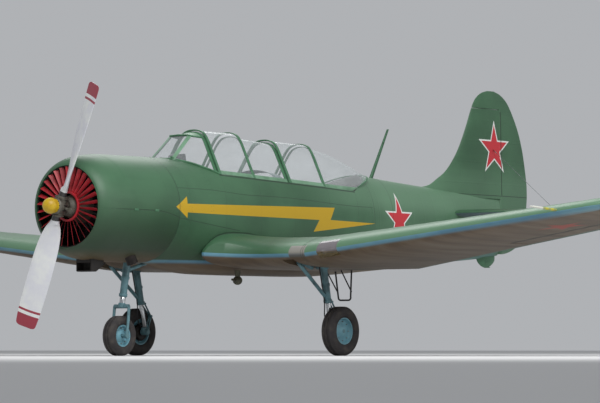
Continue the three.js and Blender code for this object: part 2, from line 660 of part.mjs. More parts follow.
function shutterRing() {
  const { front, rear, vanes, vaneTurn, vaneWidth, vaneThick } = SHUTTER;
  const ring = (r0, r1) => turned([[front, r0], [front, r1], [rear, r1], [rear, r0], [front, r0]], 30);
  const [inner, outer] = [137, 385];
  let shutters = join(ring(376, COWL.lip - SEAT_GAP), ring(126, 146));
  for (let i = 0; i < vanes; i++) {
    const vane = new THREE.BoxGeometry(vaneThick, vaneWidth, outer - inner).rotateZ(radians(vaneTurn))
      .translate((front + rear) / 2, 0, (inner + outer) / 2);
    shutters = join(shutters, solid(vane.rotateX((2 * Math.PI * (i + 0.5)) / vanes)));
  }
  return shutters;
}

const engineSolid = () => turned([[PROP.rear + SEAT_GAP, 0], [PROP.rear + SEAT_GAP, 70], [SHUTTER.rear, 105],
  [600, 150], [650, 430], [1000, 430], [1040, 260], [1480, 240], [1480, 0]], 20);

// Assembly
const wingCentre = loft([-WING.rootY, 0, WING.rootY].map((y) => wingRing(y)));
const wingCentreRoom = loft([-WING.rootY - 1, WING.rootY + 1].map((y) => wingRing(y, 0.6)));
const leftWingWhole = outerWing(-1);
const { flap, room: flapRoom } = flapSolids();

const cavityFor = (shrink) => common(body(2110, 4560, 46 + shrink),
  box(2110 + shrink, 4560 - shrink, -BIG, BIG, FLOOR_Z + shrink, BIG));
const cockpitRoom = cavityFor(0);

// Everything above the sill line and the canopy's sloping ends
const canopySpace = (lift) => sidePrism([[CANOPY.windscreen.base, CANOPY.windscreen.baseZ + lift],
  [SILL.x, SILL.z + lift], [4609, sillAt(4609) + lift], [5105, 484 + lift], [5300, 900], [1800, 900]], -900, 900);
const aboveSill = canopySpace(0);
const hullRoom = cut(body(FIREWALL, SPLIT + 800, -SEAT_GAP, 32), canopySpace(SEAT_GAP));

let fuselageFront = cut(body(FIREWALL, SPLIT), cockpitRoom, aboveSill, wingCentreRoom);
const noseBay = (margin) => box(1300, 2010 - margin, -85 + margin, 85 - margin, -800, -520 - margin);
fuselageFront = cut(fuselageFront, noseBay(0));
const fuselageRearWhole = body(SPLIT + SEAT_GAP, 7795);

let centre = cut(wingCentre, cockpitRoom, flapRoom);
for (const side of [-1, 1]) {
  centre = join(centre, rod(v(JACK.x, side * JACK.y, JACK.z), v(JACK.x, side * JACK.y, -520), JACK.radius, 44, 12));
}
const legBay = (side, margin) => box(2300 + margin, MAIN.pivot[0] + 70 - margin, side * MAIN.legY - 75 + margin,
  side * MAIN.legY + 75 - margin, -800, wingLower(2700) + 60 - margin);
for (const side of [-1, 1]) centre = cut(centre, legBay(side, 0));
// The shaft's ends and the cockpit's walls part the belly skin: the hull is trimmed to it
fuselageFront = cut(fuselageFront, flapRoom);

const { fin, rudder, stern } = tailSolids(cut(fuselageRearWhole, aboveSill));
const tubeHole = rod(v(PLANE.hinge, -300, PLANE.z), v(PLANE.hinge, 300, PLANE.z), PLANE.tube + 1, PLANE.tube + 1, 16);
const plane = tailplaneSolids();
const fuselageRear = cut(stern, tubeHole);

const cowl = cowlShell();
const cowlRoom = cowlSpace(SEAT_GAP);
const noseNotch = box(1180, 1600, -110, 110, -700, -400);
const cowlUpper = common(cowl, box(0, 2000, -BIG, BIG, SEAT_GAP, BIG));
const cowlLower = cut(common(cowl, box(0, 2000, -BIG, BIG, -BIG, -SEAT_GAP)), noseNotch);

const wingsSolid = { left: wingAndAileron(-1), right: wingAndAileron(1) };
const lampBox = (grow) => box(2000, 2335 + grow, -1900 - grow, -1650 + grow, -BIG, BIG);
const landingLight = common(leftWingWhole, lampBox(0));
wingsSolid.left[0] = cut(wingsSolid.left[0], lampBox(SEAT_GAP));

const windscreen = windscreenPieces();
const centreBay = archPieces(CANOPY.fixed.centreFront, CANOPY.fixed.centreRear);
const tailBay = archPieces(CANOPY.fixed.tailFront, CANOPY.fixed.tailMiddle, CANOPY.fixed.tailRear);
tailBay.frame = cut(tailBay.frame, hullRoom);
tailBay.glass = cut(tailBay.glass, hullRoom);
const hoodFront = archPieces(CANOPY.hoods.frontA, CANOPY.hoods.frontB);
const hoodRear = archPieces(CANOPY.hoods.rearA, CANOPY.hoods.rearB);

const main = { left: wheel(v(MAIN.x, -MAIN.y, MAIN.axleZ), MAIN.radius, MAIN.width, 20.7),
  right: wheel(v(MAIN.x, MAIN.y, MAIN.axleZ), MAIN.radius, MAIN.width, 20.7) };
const nose = wheel(v(NOSE.x, 0, NOSE.axleZ), NOSE.radius, NOSE.width, 14.7);
const noseParts = noseGear(cut(body(FIREWALL - SEAT_GAP, SPLIT, -SEAT_GAP), noseBay(SEAT_GAP)));

// Seats: a pan on a pedestal and a leaning back
function seat(x) {
  return join(
    box(x - 200, x + 190, -180, 180, FLOOR_Z + SEAT_GAP, -215),
    box(x - 220, x + 220, -215, 215, -240, -190),
    sidePrism([[x + 170, -240], [x + 220, -240], [x + 320, 330], [x + 270, 330]], -215, 215),
  );
}

const panelAt = (x, z0, z1) => common(box(x, x + 24, -BIG, BIG, z0, z1), cavityFor(2 * SEAT_GAP));
const stick = (x) => join(
  rod(v(x, 0, FLOOR_Z + SEAT_GAP), v(x, 0, -30), 12, 12, 8),
  rod(v(x, 0, FLOOR_Z + SEAT_GAP), v(x, 0, FLOOR_Z + 40), 34, 26, 12),
  rod(v(x, 0, -50), v(x - 12, 0, 15), 19, 19, 10),
);

const exhaust = (side) => cut(
  rod(v(1060, side * 200, -420), v(1120, side * 215, -548), 55, 55, 14),
  rod(v(1095, side * 209, -495), v(1130, side * 217, -569), 49, 49, 14), cowlRoom);
const scoop = cut(sidePrism([[630, -480], [630, -638], [705, -638], [820, -570], [820, -480]], -105, 105),
  box(620, 725, -92, 92, -626, -548), cowlRoom);

const mast = cut(loft([[5320, 440, 62, 14], [5655, 1011, 34, 7]].map(([x, z, chord, half]) => streamline(
  chord, half / chord / 0.5, 0, 0, 6).map(([a, b]) => v(x + a, b, z)))), body(SPLIT, 6300, -SEAT_GAP));

const bumper = cut(sidePrism([[7360, -370], [7430, -446], [7510, -478], [7610, -478], [7670, -455], [7698, -410],
  [7700, -330]], -32, 32), body(6900, 7795, -SEAT_GAP));

const tailStrut = (side) => cut(rod(v(7240, side * 60, -330), v(7120, side * 820, 100), 13, 13, 8),
  body(6300, 7795, -SEAT_GAP), planeRoom(side));
const tailWire = (side) => cut(rod(v(7640, side * 10, 870), v(7180, side * 1180, 140), 5, 5, 6), planeRoom(side), finRoom);
function planeRoom(side) {
  return loft(PLANE_ROWS.map(([y, le, chord]) => streamline(chord + 1, 0.0865, 0, 0, 8)
    .map(([x, z]) => v(le - 0.5 + x, side * y, PLANE.z + z))));
}
const finRoom = loft(FIN_ROWS.slice(5, 13).map(([z, le, te, half]) => finRing([z, le - 1, te + 1, half + SEAT_GAP + 0.2])));

const stepRoom = join(wingCentreRoom, body(SPLIT - 1800, SPLIT, -SEAT_GAP));
const step = cut(join(
  bentRod([v(4130, -452, -560), v(4150, -480, -888), v(4150, -640, -888), v(4130, -668, -560)], 9, 6),
  rod(v(4148, -466, -800), v(3960, -462, -560), 7, 7, 6),
  rod(v(4148, -655, -800), v(3960, -658, -560), 7, 7, 6),
), stepRoom, flapRoom);

const housing = cut(join(
  solid(new THREE.SphereGeometry(46, 12, 8).scale(1.25, 0.9, 1).translate(2640, -330, -700)),
  rod(v(2620, -330, -560), v(2632, -330, -690), 30, 34, 12),
), stepRoom, body(FIREWALL, 3200, -SEAT_GAP));

const pitot = cut(join(rod(v(1870, -4500, -62), v(2420, -4500, -90), 11, 13, 10),
  rod(v(1850, -4500, -61), v(1900, -4500, -64), 7, 7, 10)),
  loft([-4300, -4600].map((y) => wingRing(y, 0.6))));

const { hub, cap } = hubSolid();
const lean = radians(PROP.lean);

// Paint and metal: colour, roughness, metalness
const FINISH = {
  green: [0x467355, 0.38, 0], blue: [0x508296, 0.42, 0], under: [0x5f5548, 0.55, 0], red: [0xa8232b, 0.4, 0],
  yellow: [0xd8b224, 0.35, 0], silver: [0xd8d8d6, 0.3, 0.4], dark: [0x2b2826, 0.6, 0.3], rubber: [0x2d2a2b, 0.85, 0],
  steel: [0x8c8f92, 0.4, 0.9], glass: [0xcfdcdc, 0.05, 0], grey: [0x6d7472, 0.6, 0], brown: [0x4a3a2c, 0.7, 0],
};

const PIECES = [
  ['fuselage_front', fuselageFront, 'green'], ['fuselage_rear', fuselageRear, 'green'],
  ['cowl_upper', cowlUpper, 'green'], ['cowl_lower', cowlLower, 'green'],
  ['shutter_ring', shutterRing(), 'red'], ['engine_block', engineSolid(), 'dark'],
  ['intake_scoop', scoop, 'dark'], ['exhaust_left', exhaust(-1), 'dark'], ['exhaust_right', exhaust(1), 'dark'],
  ['windscreen_frame', windscreen.frame, 'green'], ['windscreen_glass', windscreen.glass, 'glass'],
  ['canopy_centre_frame', centreBay.frame, 'green'], ['canopy_centre_glass', centreBay.glass, 'glass'],
  ['canopy_tail_frame', tailBay.frame, 'green'], ['canopy_tail_glass', tailBay.glass, 'glass'],
  ['seat_front', seat(2720), 'brown'], ['seat_rear', seat(3900), 'brown'],
  ['panel_front', panelAt(2140, -60, 330), 'dark'], ['panel_rear', panelAt(3330, -60, 300), 'dark'],
  ['stick_front', stick(2400), 'dark'], ['stick_rear', stick(3580), 'dark'],
  ['wing_centre', centre, 'under'], ['wing_left', wingsSolid.left[0], 'green'],
  ['wing_right', wingsSolid.right[0], 'green'], ['landing_light', landingLight, 'glass'],
  ['pitot_tube', pitot, 'yellow'], ['fin', fin, 'green'],
  ['tailplane_left', plane.left, 'green'], ['tailplane_right', plane.right, 'green'],
  ['tail_strut_left', tailStrut(-1), 'blue'], ['tail_strut_right', tailStrut(1), 'blue'],
  ['tail_wire_left', tailWire(-1), 'steel'], ['tail_wire_right', tailWire(1), 'steel'],
  ['tail_bumper', bumper, 'green'], ['antenna_mast', mast, 'green'], ['boarding_step', step, 'dark'],
  ['belly_housing', housing, 'grey'],
  ['main_leg_left', mainLeg(-1, cut(wingCentreRoom, legBay(-1, SEAT_GAP))), 'blue'],
  ['main_leg_right', mainLeg(1, cut(wingCentreRoom, legBay(1, SEAT_GAP))), 'blue'],
  ['nose_leg', noseParts.leg, 'blue'], ['nose_fork', noseParts.fork, 'dark'],
  ['propeller_hub', hub, 'steel'], ['blade_a', bladeSolid(lean), 'silver'],
  ['blade_b', bladeSolid(lean + Math.PI), 'silver'], ['spinner_cap', cap, 'yellow'],
  ['main_tyre_left', main.left.tyre, 'rubber'], ['main_rim_left', main.left.rim, 'blue'],
  ['main_tyre_right', main.right.tyre, 'rubber'], ['main_rim_right', main.right.rim, 'blue'],
  ['nose_tyre', nose.tyre, 'rubber'], ['nose_rim', nose.rim, 'blue'],
  ['aileron_left', wingsSolid.left[1], 'green'], ['aileron_right', wingsSolid.right[1], 'green'],
  ['elevator', plane.elevator, 'green'], ['rudder', rudder, 'green'], ['flap', flap, 'under'],
  ['hood_front_frame', hoodFront.frame, 'green'], ['hood_front_glass', hoodFront.glass, 'glass'],
  ['hood_rear_frame', hoodRear.frame, 'green'], ['hood_rear_glass', hoodRear.glass, 'glass'],
];

const aircraft = new THREE.Group();
aircraft.position.set(-(SPINNER_TIP + TAIL_END) / 2, 0, THRUST_HEIGHT);
for (const [name, piece, finish] of PIECES) {
  const [color, roughness, metalness] = FINISH[finish];
  const material = new THREE.MeshStandardMaterial({ color, roughness, metalness });
  const mesh = new THREE.Mesh(geometryOf(piece), material);
  mesh.name = name;
  aircraft.add(mesh);
}

const parked = new THREE.Group();
parked.add(aircraft);

export default parked;
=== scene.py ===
"""The looks of a two-seat, low-wing trainer with a radial engine, parked on its tricycle gear."""

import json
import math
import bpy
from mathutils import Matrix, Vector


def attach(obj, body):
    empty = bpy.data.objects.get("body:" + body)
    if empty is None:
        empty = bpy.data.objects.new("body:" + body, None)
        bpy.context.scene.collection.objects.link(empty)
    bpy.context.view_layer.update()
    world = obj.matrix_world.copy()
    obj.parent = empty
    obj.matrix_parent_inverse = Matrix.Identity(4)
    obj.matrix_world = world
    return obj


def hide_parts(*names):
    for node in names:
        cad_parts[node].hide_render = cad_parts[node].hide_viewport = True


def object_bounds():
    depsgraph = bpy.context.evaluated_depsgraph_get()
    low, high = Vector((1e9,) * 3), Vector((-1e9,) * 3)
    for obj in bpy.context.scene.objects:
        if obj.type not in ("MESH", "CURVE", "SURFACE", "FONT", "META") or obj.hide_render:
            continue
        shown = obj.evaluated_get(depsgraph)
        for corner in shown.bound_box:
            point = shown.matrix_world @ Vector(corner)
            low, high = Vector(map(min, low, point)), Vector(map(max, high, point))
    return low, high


bl_info = {
    "name": "Parked Trainer",
    "version": (1, 0, 0),
    "blender": (4, 5, 0),
    "location": "3D View > Sidebar > Trainer",
    "description": "Builds the trainer's skins, glass, gear and paint around its packed frame",
    "category": "Add Mesh",
}

import bmesh
import bpy
import numpy as np
from bpy.props import FloatProperty, FloatVectorProperty, IntProperty, PointerProperty
from mathutils import Matrix, Vector

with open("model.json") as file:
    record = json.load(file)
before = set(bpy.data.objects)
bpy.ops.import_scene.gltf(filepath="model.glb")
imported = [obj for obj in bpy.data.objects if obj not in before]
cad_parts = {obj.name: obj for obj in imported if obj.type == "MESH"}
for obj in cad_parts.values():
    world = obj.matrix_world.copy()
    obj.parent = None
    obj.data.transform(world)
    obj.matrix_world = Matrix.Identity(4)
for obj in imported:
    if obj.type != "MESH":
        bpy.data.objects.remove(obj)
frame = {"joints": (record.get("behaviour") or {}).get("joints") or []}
CAD_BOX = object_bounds()
JOINTS = {joint["name"]: joint for joint in frame["joints"]}
# Stations: x runs aft from just ahead of the cap, y to the right, z up from the thrust line
PROP_X = 0.27
ORIGIN = Vector(JOINTS["propeller_spin"]["pos_m"]) - Vector((PROP_X, 0, 0))
SIDES = ((-1, "left"), (1, "right"))
# Left between pieces that meet
HAIR = 0.0003


def station(name):
    """A joint's place in stations."""
    return Vector(JOINTS[name]["pos_m"]) - ORIGIN


HALF_SPAN = CAD_BOX[1].y
HULL_FRONT = 1.4803
HULL_SPLIT = 4.9
HULL_REAR = 7.795
FLOOR = -0.45
TUB = {"front": 2.11, "rear": 4.56, "inset": 0.046}
SILL = {"x": 2.267, "z": 0.378, "slope": -0.04}
WING = {"le": 2.25, "z": -0.44, "root": 1.46, "chord": 2.0, "tip_chord": 1.15, "tip": 4.85, "sweep": 0.01,
        "dihedral": 0.115, "thickness": 0.155, "tip_thickness": 0.11, "camber": 0.03,
        "incidence": math.radians(3.6)}
# Where the root fairing starts, beside the hull and outboard
FAIRING = {"side": 0.45, "out": 1.02, "forward": 0.30}
AILERON = {"inner": 3.15, "outer": 4.88, "hinge": 0.76, "gap": 0.014}
FLAP = {"front": 3.62, "rear": 4.06, "inner": 0.70, "outer": 1.40}
LAMP = {"inner": 1.65, "outer": 1.90, "rear": 2.335}
# Room round a hinged surface's nose
CLEAR = 0.005
RIB_PITCH = 0.24
BLADE_LEAN = math.radians(21)

# Hull sections: station, top, widest height, bottom, half width, roundness above and below
HULL = [
    [1.4803, 0.535, 0.000, -0.535, 0.535, 2.00, 2.00],
    [1.65, 0.533, -0.005, -0.562, 0.527, 2.05, 2.10],
    [1.90, 0.535, -0.020, -0.602, 0.508, 2.20, 2.30],
    [2.20, 0.548, -0.030, -0.632, 0.490, 2.40, 2.50],
    [2.60, 0.560, -0.040, -0.640, 0.475, 2.60, 2.60],
    [3.30, 0.555, -0.050, -0.640, 0.465, 2.60, 2.60],
    [4.10, 0.530, -0.050, -0.635, 0.442, 2.50, 2.50],
    [4.60, 0.500, -0.045, -0.607, 0.408, 2.30, 2.30],
    [5.11, 0.476, -0.035, -0.568, 0.360, 2.10, 2.10],
    [5.70, 0.438, -0.020, -0.522, 0.300, 2.00, 2.00],
    [6.30, 0.400, -0.010, -0.470, 0.230, 2.00, 2.00],
    [6.90, 0.372, -0.005, -0.418, 0.155, 2.00, 2.00],
    [7.40, 0.352, 0.000, -0.377, 0.092, 2.00, 2.00],
    [7.795, 0.340, 0.000, -0.330, 0.046, 2.20, 2.20],
]
# Where the hull opens under the canopy: station and height of the edge
OPENING = [(1.80, 0.534), (2.267, 0.378), (4.609, 0.28432), (5.105, 0.484)]
# The root fairing's upper line on the hull's side: station, height
ROOT_LINE = [[1.88, -0.515], [1.93, -0.465], [1.98, -0.378], [2.05, -0.305], [2.14, -0.257], [2.26, -0.232],
             [2.389, -0.223], [2.638, -0.225], [2.923, -0.262], [3.40, -0.345], [3.90, -0.45], [4.25, -0.54]]
# Cowl outline and its inside: station, radius
COWL = [[0.375, 0.409], [0.385, 0.430], [0.417, 0.459], [0.470, 0.486], [0.555, 0.510], [0.690, 0.527],
        [0.850, 0.535], [1.4797, 0.535]]
COWL_INNER = [(1.4797, 0.525), (0.85, 0.525), (0.69, 0.516), (0.555, 0.498), (0.47, 0.474), (0.422, 0.449),
              (0.405, 0.405), (0.377, 0.405)]
COWL_SPLIT = -0.03
SHUTTER = {"front": 0.383, "rear": 0.405, "inner": 0.137, "outer": 0.393}
# Propeller blade: radius, chord, thickness, pitch in degrees
BLADE = [[0.105, 0.078, 0.078, 50], [0.16, 0.090, 0.072, 48], [0.23, 0.150, 0.056, 46],
         [0.33, 0.196, 0.044, 42], [0.48, 0.226, 0.034, 36], [0.72, 0.238, 0.025, 29],
         [0.94, 0.240, 0.018, 25], [1.11, 0.234, 0.013, 22], [1.205, 0.223, 0.009, 20],
         [1.238, 0.214, 0.008, 19], [1.253, 0.198, 0.007, 19], [1.262, 0.168, 0.006, 19],
         [1.267, 0.128, 0.005, 19]]
# Canopy arches: lower station, half width at the sill, upper station, top height
ARCHES = {
    "screen": (2.267, 0.372, 2.310, 0.826),
    "centre": ((2.866, 0.372, 2.900, 0.806), (3.430, 0.370, 3.470, 0.768)),
    "tail": ((4.064, 0.362, 4.105, 0.752), (4.200, 0.355, 4.262, 0.738), (4.350, 0.346, 4.620, 0.668),
             (4.609, 0.318, 5.105, 0.482)),
    "hood_front": ((2.273, 0.394, 2.316, 0.848), (2.860, 0.394, 2.894, 0.842)),
    "hood_rear": ((3.436, 0.392, 3.476, 0.796), (4.058, 0.384, 4.100, 0.776)),
}
ROOF = 0.42
SHOULDER = 0.052
SCREEN = {"base": 1.80, "base_z": 0.534, "base_half": 0.14, "top": 2.095, "top_z": 0.775, "top_half": 0.12,
          "arch_width": 0.056, "arch_thick": 0.008, "post_width": 0.042, "post_thick": 0.012}
# Fin and rudder outline: height, leading edge, trailing edge, half thickness at the hinge
FIN = [
    [-0.329, 7.80, 7.790, 0.030],
    [-0.300, 7.80, 7.965, 0.038],
    [-0.235, 7.80, 8.130, 0.042],
    [-0.124, 7.80, 8.245, 0.045],
    [-0.019, 7.80, 8.308, 0.046],
    [0.330, 6.00, 8.358, 0.042],
    [0.425, 6.42, 8.357, 0.040],
    [0.503, 6.59, 8.352, 0.038],
    [0.591, 6.75, 8.336, 0.036],
    [0.747, 6.915, 8.302, 0.034],
    [0.902, 7.030, 8.260, 0.031],
    [1.105, 7.145, 8.177, 0.027],
    [1.308, 7.245, 8.050, 0.022],
    [1.431, 7.326, 7.945, 0.017],
    [1.509, 7.444, 7.812, 0.010],
    [1.539, 7.560, 7.700, 0.005],
]
HORN_Z = 1.335
FIN_TOP = 1.539
RUDDER_X = station("rudder_hinge").x
ELEVATOR_X = station("elevator_hinge").x
# Tailplane: half span, leading edge, chord
PLANE = [[0.0, 6.690, 1.045], [0.30, 6.715, 1.018], [1.45, 6.850, 0.842], [1.62, 6.905, 0.745],
         [1.71, 6.985, 0.590], [1.75, 7.120, 0.330]]
PLANE_Z = 0.12

# Painted stars: station, height or distance from the middle, size
STARS = {"rear": (5.445, -0.002, 0.253), "fin": (7.66, 0.879, 0.276), "wing": (2.99, 4.11, 0.33)}
STAR_EDGE = 0.016
# Edges of the lightning arrow on the hull's side: a point of each, and its rise per metre aft
ARROW = {
    "head_top": (1.416, 0.016, 0.591),
    "head_low": (1.416, 0.016, -0.58),
    "shaft_top": (1.572, 0.052, 0.0152),
    "shaft_low": (1.608, -0.035, -0.0049),
    "bolt_top": (4.061, -0.041, -0.0146),
    "bolt_low": (3.759, -0.172, 0.1),
}
HEAD_REAR, SHAFT_FRONT = 1.601, 1.59
# Panel joints across the hull, the rear hull and the wing's centre
PANEL_JOINTS = {"hull": (1.66, 2.27, 2.86, 3.43, 4.06, 4.60), "rear": (4.93, 5.32), "centre": (2.62, 3.55)}


# Numbers along curves

def spline(rows, x):
    """The values of smooth curves through rows of [x, value, ...]."""
    table = np.asarray(rows, float)
    xs = table[:, 0]
    i = int(np.clip(np.searchsorted(xs, x, side="right") - 1, 0, len(xs) - 2))
    width = xs[i + 1] - xs[i]
    t = (x - xs[i]) / width

    def slope(k):
        a, b = max(k - 1, 0), min(k + 1, len(xs) - 1)
        return (table[b, 1:] - table[a, 1:]) / (xs[b] - xs[a]) * width

    return ((2 * t**3 - 3 * t**2 + 1) * table[i, 1:] + (t**3 - 2 * t**2 + t) * slope(i)
            + (3 * t**2 - 2 * t**3) * table[i + 1, 1:] + (t**3 - t**2) * slope(i + 1))


def smooth_path(points, count):
    """Points along a smooth curve through a few."""
    rows = [[i, *p] for i, p in enumerate(points)]
    return [Vector(spline(rows, t)) for t in np.linspace(0, len(points) - 1, count)]


def mix(a, b, t):
    return a + (b - a) * t


def smooth(edge0, edge1, x):
    t = min(1.0, max(0.0, (x - edge0) / (edge1 - edge0)))
    return t * t * (3 - 2 * t)


def spread(*stops):
    """Stations from (start, end, count) stretches, in order and without doubles."""
    values = sorted(round(float(v), 6) for a, b, n in stops for v in np.linspace(a, b, n))
    return [v for i, v in enumerate(values) if i == 0 or v - values[i - 1] > 1e-4]


def turns(count):
    """Equal angles round a full turn."""
    return [2 * math.pi * i / count for i in range(count)]


# Meshes

def square_to(direction):
    """Two unit vectors square to a direction and to each other."""
    d = Vector(direction).normalized()
    side = d.cross(Vector((0, 0, 1)) if abs(d.z) < 0.9 else Vector((1, 0, 0))).normalized()
    return side, d.cross(side)


def circle(centre, u, w, radius, sides):
    """Points round a centre in the plane of two unit vectors."""
    return [centre + radius * (math.cos(t) * u + math.sin(t) * w) for t in turns(sides)]


def added(name, data):
    """A new object in the scene."""
    thing = bpy.data.objects.new(name, data)
    bpy.context.scene.collection.objects.link(thing)
    return thing


class Shape:
    """Points in stations, their faces and each face's paint number."""

    def __init__(self):
        self.points = []
        self.faces = []
        self.paints = []

    def face(self, corners, paint=0):
        self.faces.append(corners)
        self.paints.append(paint)

    def grid(self, rings, wrap=False, caps=False, paint=0):
        """Quads between rings of equal count, with each end closed by a fan if asked."""
        start, count = len(self.points), len(rings[0])
        self.points += [tuple(p) for ring in rings for p in ring]
        for i in range(len(rings) - 1):
            for j in range(count if wrap else count - 1):
                a, b = start + i * count + j, start + i * count + (j + 1) % count
                self.face((a, b, b + count, a + count), paint)
        if caps:
            for first in (start, start + (len(rings) - 1) * count):
                middle = len(self.points)
                self.points.append(tuple(np.mean(self.points[first:first + count], axis=0)))
                for j in range(count):
                    self.face((first + j, first + (j + 1) % count, middle), paint)
        return self

    def solid(self, rings, paint=0):
        """A closed body through rings."""
        return self.grid(rings, wrap=True, caps=True, paint=paint)

    def rod(self, a, b, radius, sides=20, paint=0):
        """A round rod from a to b, or a cone where two radii are given."""
        a, b = Vector(a), Vector(b)
        ra, rb = radius if isinstance(radius, tuple) else (radius, radius)
        u, w = square_to(b - a)
        return self.solid([circle(a, u, w, ra, sides), circle(b, u, w, rb, sides)], paint)

    def pin(self, centre, y0, y1, radius, sides=20):
        """A rod across the aircraft, from one distance beside a centre to another."""
        y = Vector((0, 1, 0))
        return self.rod(Vector(centre) + y * y0, Vector(centre) + y * y1, radius, sides)

    def tube(self, path, radius, sides=8):
        """A round tube along points, turned as little as it can be."""
        path = [Vector(p) for p in path]
        u, _ = square_to(path[1] - path[0])
        rings = []
        for i, p in enumerate(path):
            ahead = (path[min(i + 1, len(path) - 1)] - path[max(i - 1, 0)]).normalized()
            u = (u - u.dot(ahead) * ahead).normalized()
            rings.append(circle(p, u, ahead.cross(u), radius, sides))
        return self.solid(rings)

    def turned(self, profile, centre=(0, 0, 0), axis=(1, 0, 0), sides=64, closed=True):
        """A profile of (along, radius) points turned about an axis."""
        u, w = square_to(axis)
        axis, centre = Vector(axis).normalized(), Vector(centre)
        rings = [[centre + axis * along + out * r for along, r in profile]
                 for out in circle(Vector(), u, w, 1.0, sides)]
        return self.grid(rings + rings[:1], wrap=closed)

    def block(self, low, high):
        (x0, y0, z0), (x1, y1, z1) = low, high
        return self.solid([[(x, y0, z0), (x, y1, z0), (x, y1, z1), (x, y0, z1)] for x in (x0, x1)])

    def prism(self, outline, y0, y1):
        """A side-view outline of (x, z) points between two sides."""
        return self.solid([[(x, y, z) for x, z in outline] for y in (y0, y1)])

    def make(self, name, finishes="", wall=0.0, bevel=0.0, angle=35, subdivide=0):
        """A mesh object of the shape, moved from stations to the model's own frame."""
        mesh = bpy.data.meshes.new(name)
        points = np.array(self.points, float).reshape(-1, 3) + np.array(ORIGIN)
        mesh.from_pydata(points.tolist(), [], [list(f) for f in self.faces])
        for label in finishes.split():
            mesh.materials.append(finish(label))
        mesh.polygons.foreach_set("material_index", self.paints)
        body = bmesh.new()
        body.from_mesh(mesh)
        bmesh.ops.remove_doubles(body, verts=body.verts, dist=1e-5)
        bmesh.ops.dissolve_degenerate(body, edges=body.edges, dist=1e-6)
        bmesh.ops.recalc_face_normals(body, faces=body.faces)
        body.to_mesh(mesh)
        body.free()
        piece = added(name, mesh)
        if wall:
            modify(piece, "SOLIDIFY", thickness=wall, offset=-1, use_even_offset=True)
        if bevel:
            modify(piece, "BEVEL", width=bevel, segments=2, limit_method="ANGLE",
                   angle_limit=math.radians(40))
        if subdivide:
            modify(piece, "SUBSURF", levels=subdivide, render_levels=subdivide)
        return shade(freeze(piece), angle)


def modify(piece, kind, **settings):
    """Adds a modifier with its settings."""
    change = piece.modifiers.new(kind.lower(), kind)
    for key, value in settings.items():
        setattr(change, key, value)


def freeze(piece):
    """Turns a piece's modifiers into plain mesh."""
    if piece.modifiers:
        graph = bpy.context.evaluated_depsgraph_get()
        mesh = bpy.data.meshes.new_from_object(piece.evaluated_get(graph))
        piece.modifiers.clear()
        piece.data = mesh
    return piece


def shade(piece, angle=35):
    """Smooth shading, with edges sharp above an angle in degrees."""
    mesh = piece.data
    mesh.polygons.foreach_set("use_smooth", [True] * len(mesh.polygons))
    mesh.set_sharp_from_angle(angle=math.radians(angle))
    return piece


def carve(piece, cutters, operation="DIFFERENCE"):
    """Cuts, joins or keeps what is common with each cutter, and deletes the cutters."""
    for cutter in cutters:
        modify(piece, "BOOLEAN", operation=operation, solver="MANIFOLD", object=cutter)
        freeze(piece)
        bpy.data.objects.remove(cutter)
    return shade(piece)


def mount(piece, instead_of=(), body="airframe"):
    """Ties a finished piece to its body and the solids that it stands for."""
    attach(piece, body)
    if instead_of:
        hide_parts(*([instead_of] if isinstance(instead_of, str) else instead_of))
    return piece


def fit(shape, name, finishes, slot, instead_of=(), body="airframe", **options):
    """Makes a shape with its finishes and mounts it."""
    return mount(shape.make(name, finishes, **options), instead_of, body)


# Materials

def tone(red, green, blue):
    """A colour of 0 to 255 screen values as linear light."""
    return tuple((c / 255 / 12.92 if c / 255 <= 0.04045 else ((c / 255 + 0.055) / 1.055) ** 2.4)
                 for c in (red, green, blue)) + (1.0,)


def feed(tree, node, values):
    """Links or sets a node's sockets."""
    for key, value in values.items():
        if isinstance(value, Value):
            value = value.socket
        if isinstance(value, bpy.types.NodeSocket):
            tree.links.new(value, node.inputs[key])
        else:
            node.inputs[key].default_value = value


def add_node(tree, kind, settings, values):
    """Any node: its settings first, then the values or links of its sockets."""
    node = tree.nodes.new(kind)
    for key, value in settings.items():
        setattr(node, key, value)
    feed(tree, node, values)
    return node


class Value:
    """A number socket whose arithmetic adds Math nodes."""

    def __init__(self, finish, socket):
        self.finish = finish
        self.socket = socket

    def math(self, operation, *others):
        values = {i: value for i, value in enumerate((self, *others))}
        return self.finish.node("ShaderNodeMath", {"operation": operation}, values)

    def __add__(self, other):
        return self.math("ADD", other)

    __radd__ = __add__

    def __sub__(self, other):
        return self.math("SUBTRACT", other)

    def __rsub__(self, other):
        return self.math("MULTIPLY_ADD", -1.0, other)

    def __mul__(self, other):
        return self.math("MULTIPLY", other)

    __rmul__ = __mul__

    def __truediv__(self, other):
        return self.math("DIVIDE", other)

    def __pow__(self, other):
        return self.math("POWER", other)

    def __lt__(self, other):
        return self.math("LESS_THAN", other)

    def __gt__(self, other):
        return self.math("GREATER_THAN", other)

    def __abs__(self):
        return self.math("ABSOLUTE")

    def least(self, other):
        return self.math("MINIMUM", other)

    def most(self, other):
        return self.math("MAXIMUM", other)

    def step(self, low, high):
        """0 below low, 1 above high, smooth between."""
        return self.finish.node("ShaderNodeMapRange", {"interpolation_type": "SMOOTHSTEP"},
                                {"Value": self, "From Min": low, "From Max": high})

    def near(self, at, reach):
        """1 at a value, falling to 0 at a distance from it."""
        return 1 - abs(self - at).step(reach * 0.4, reach)


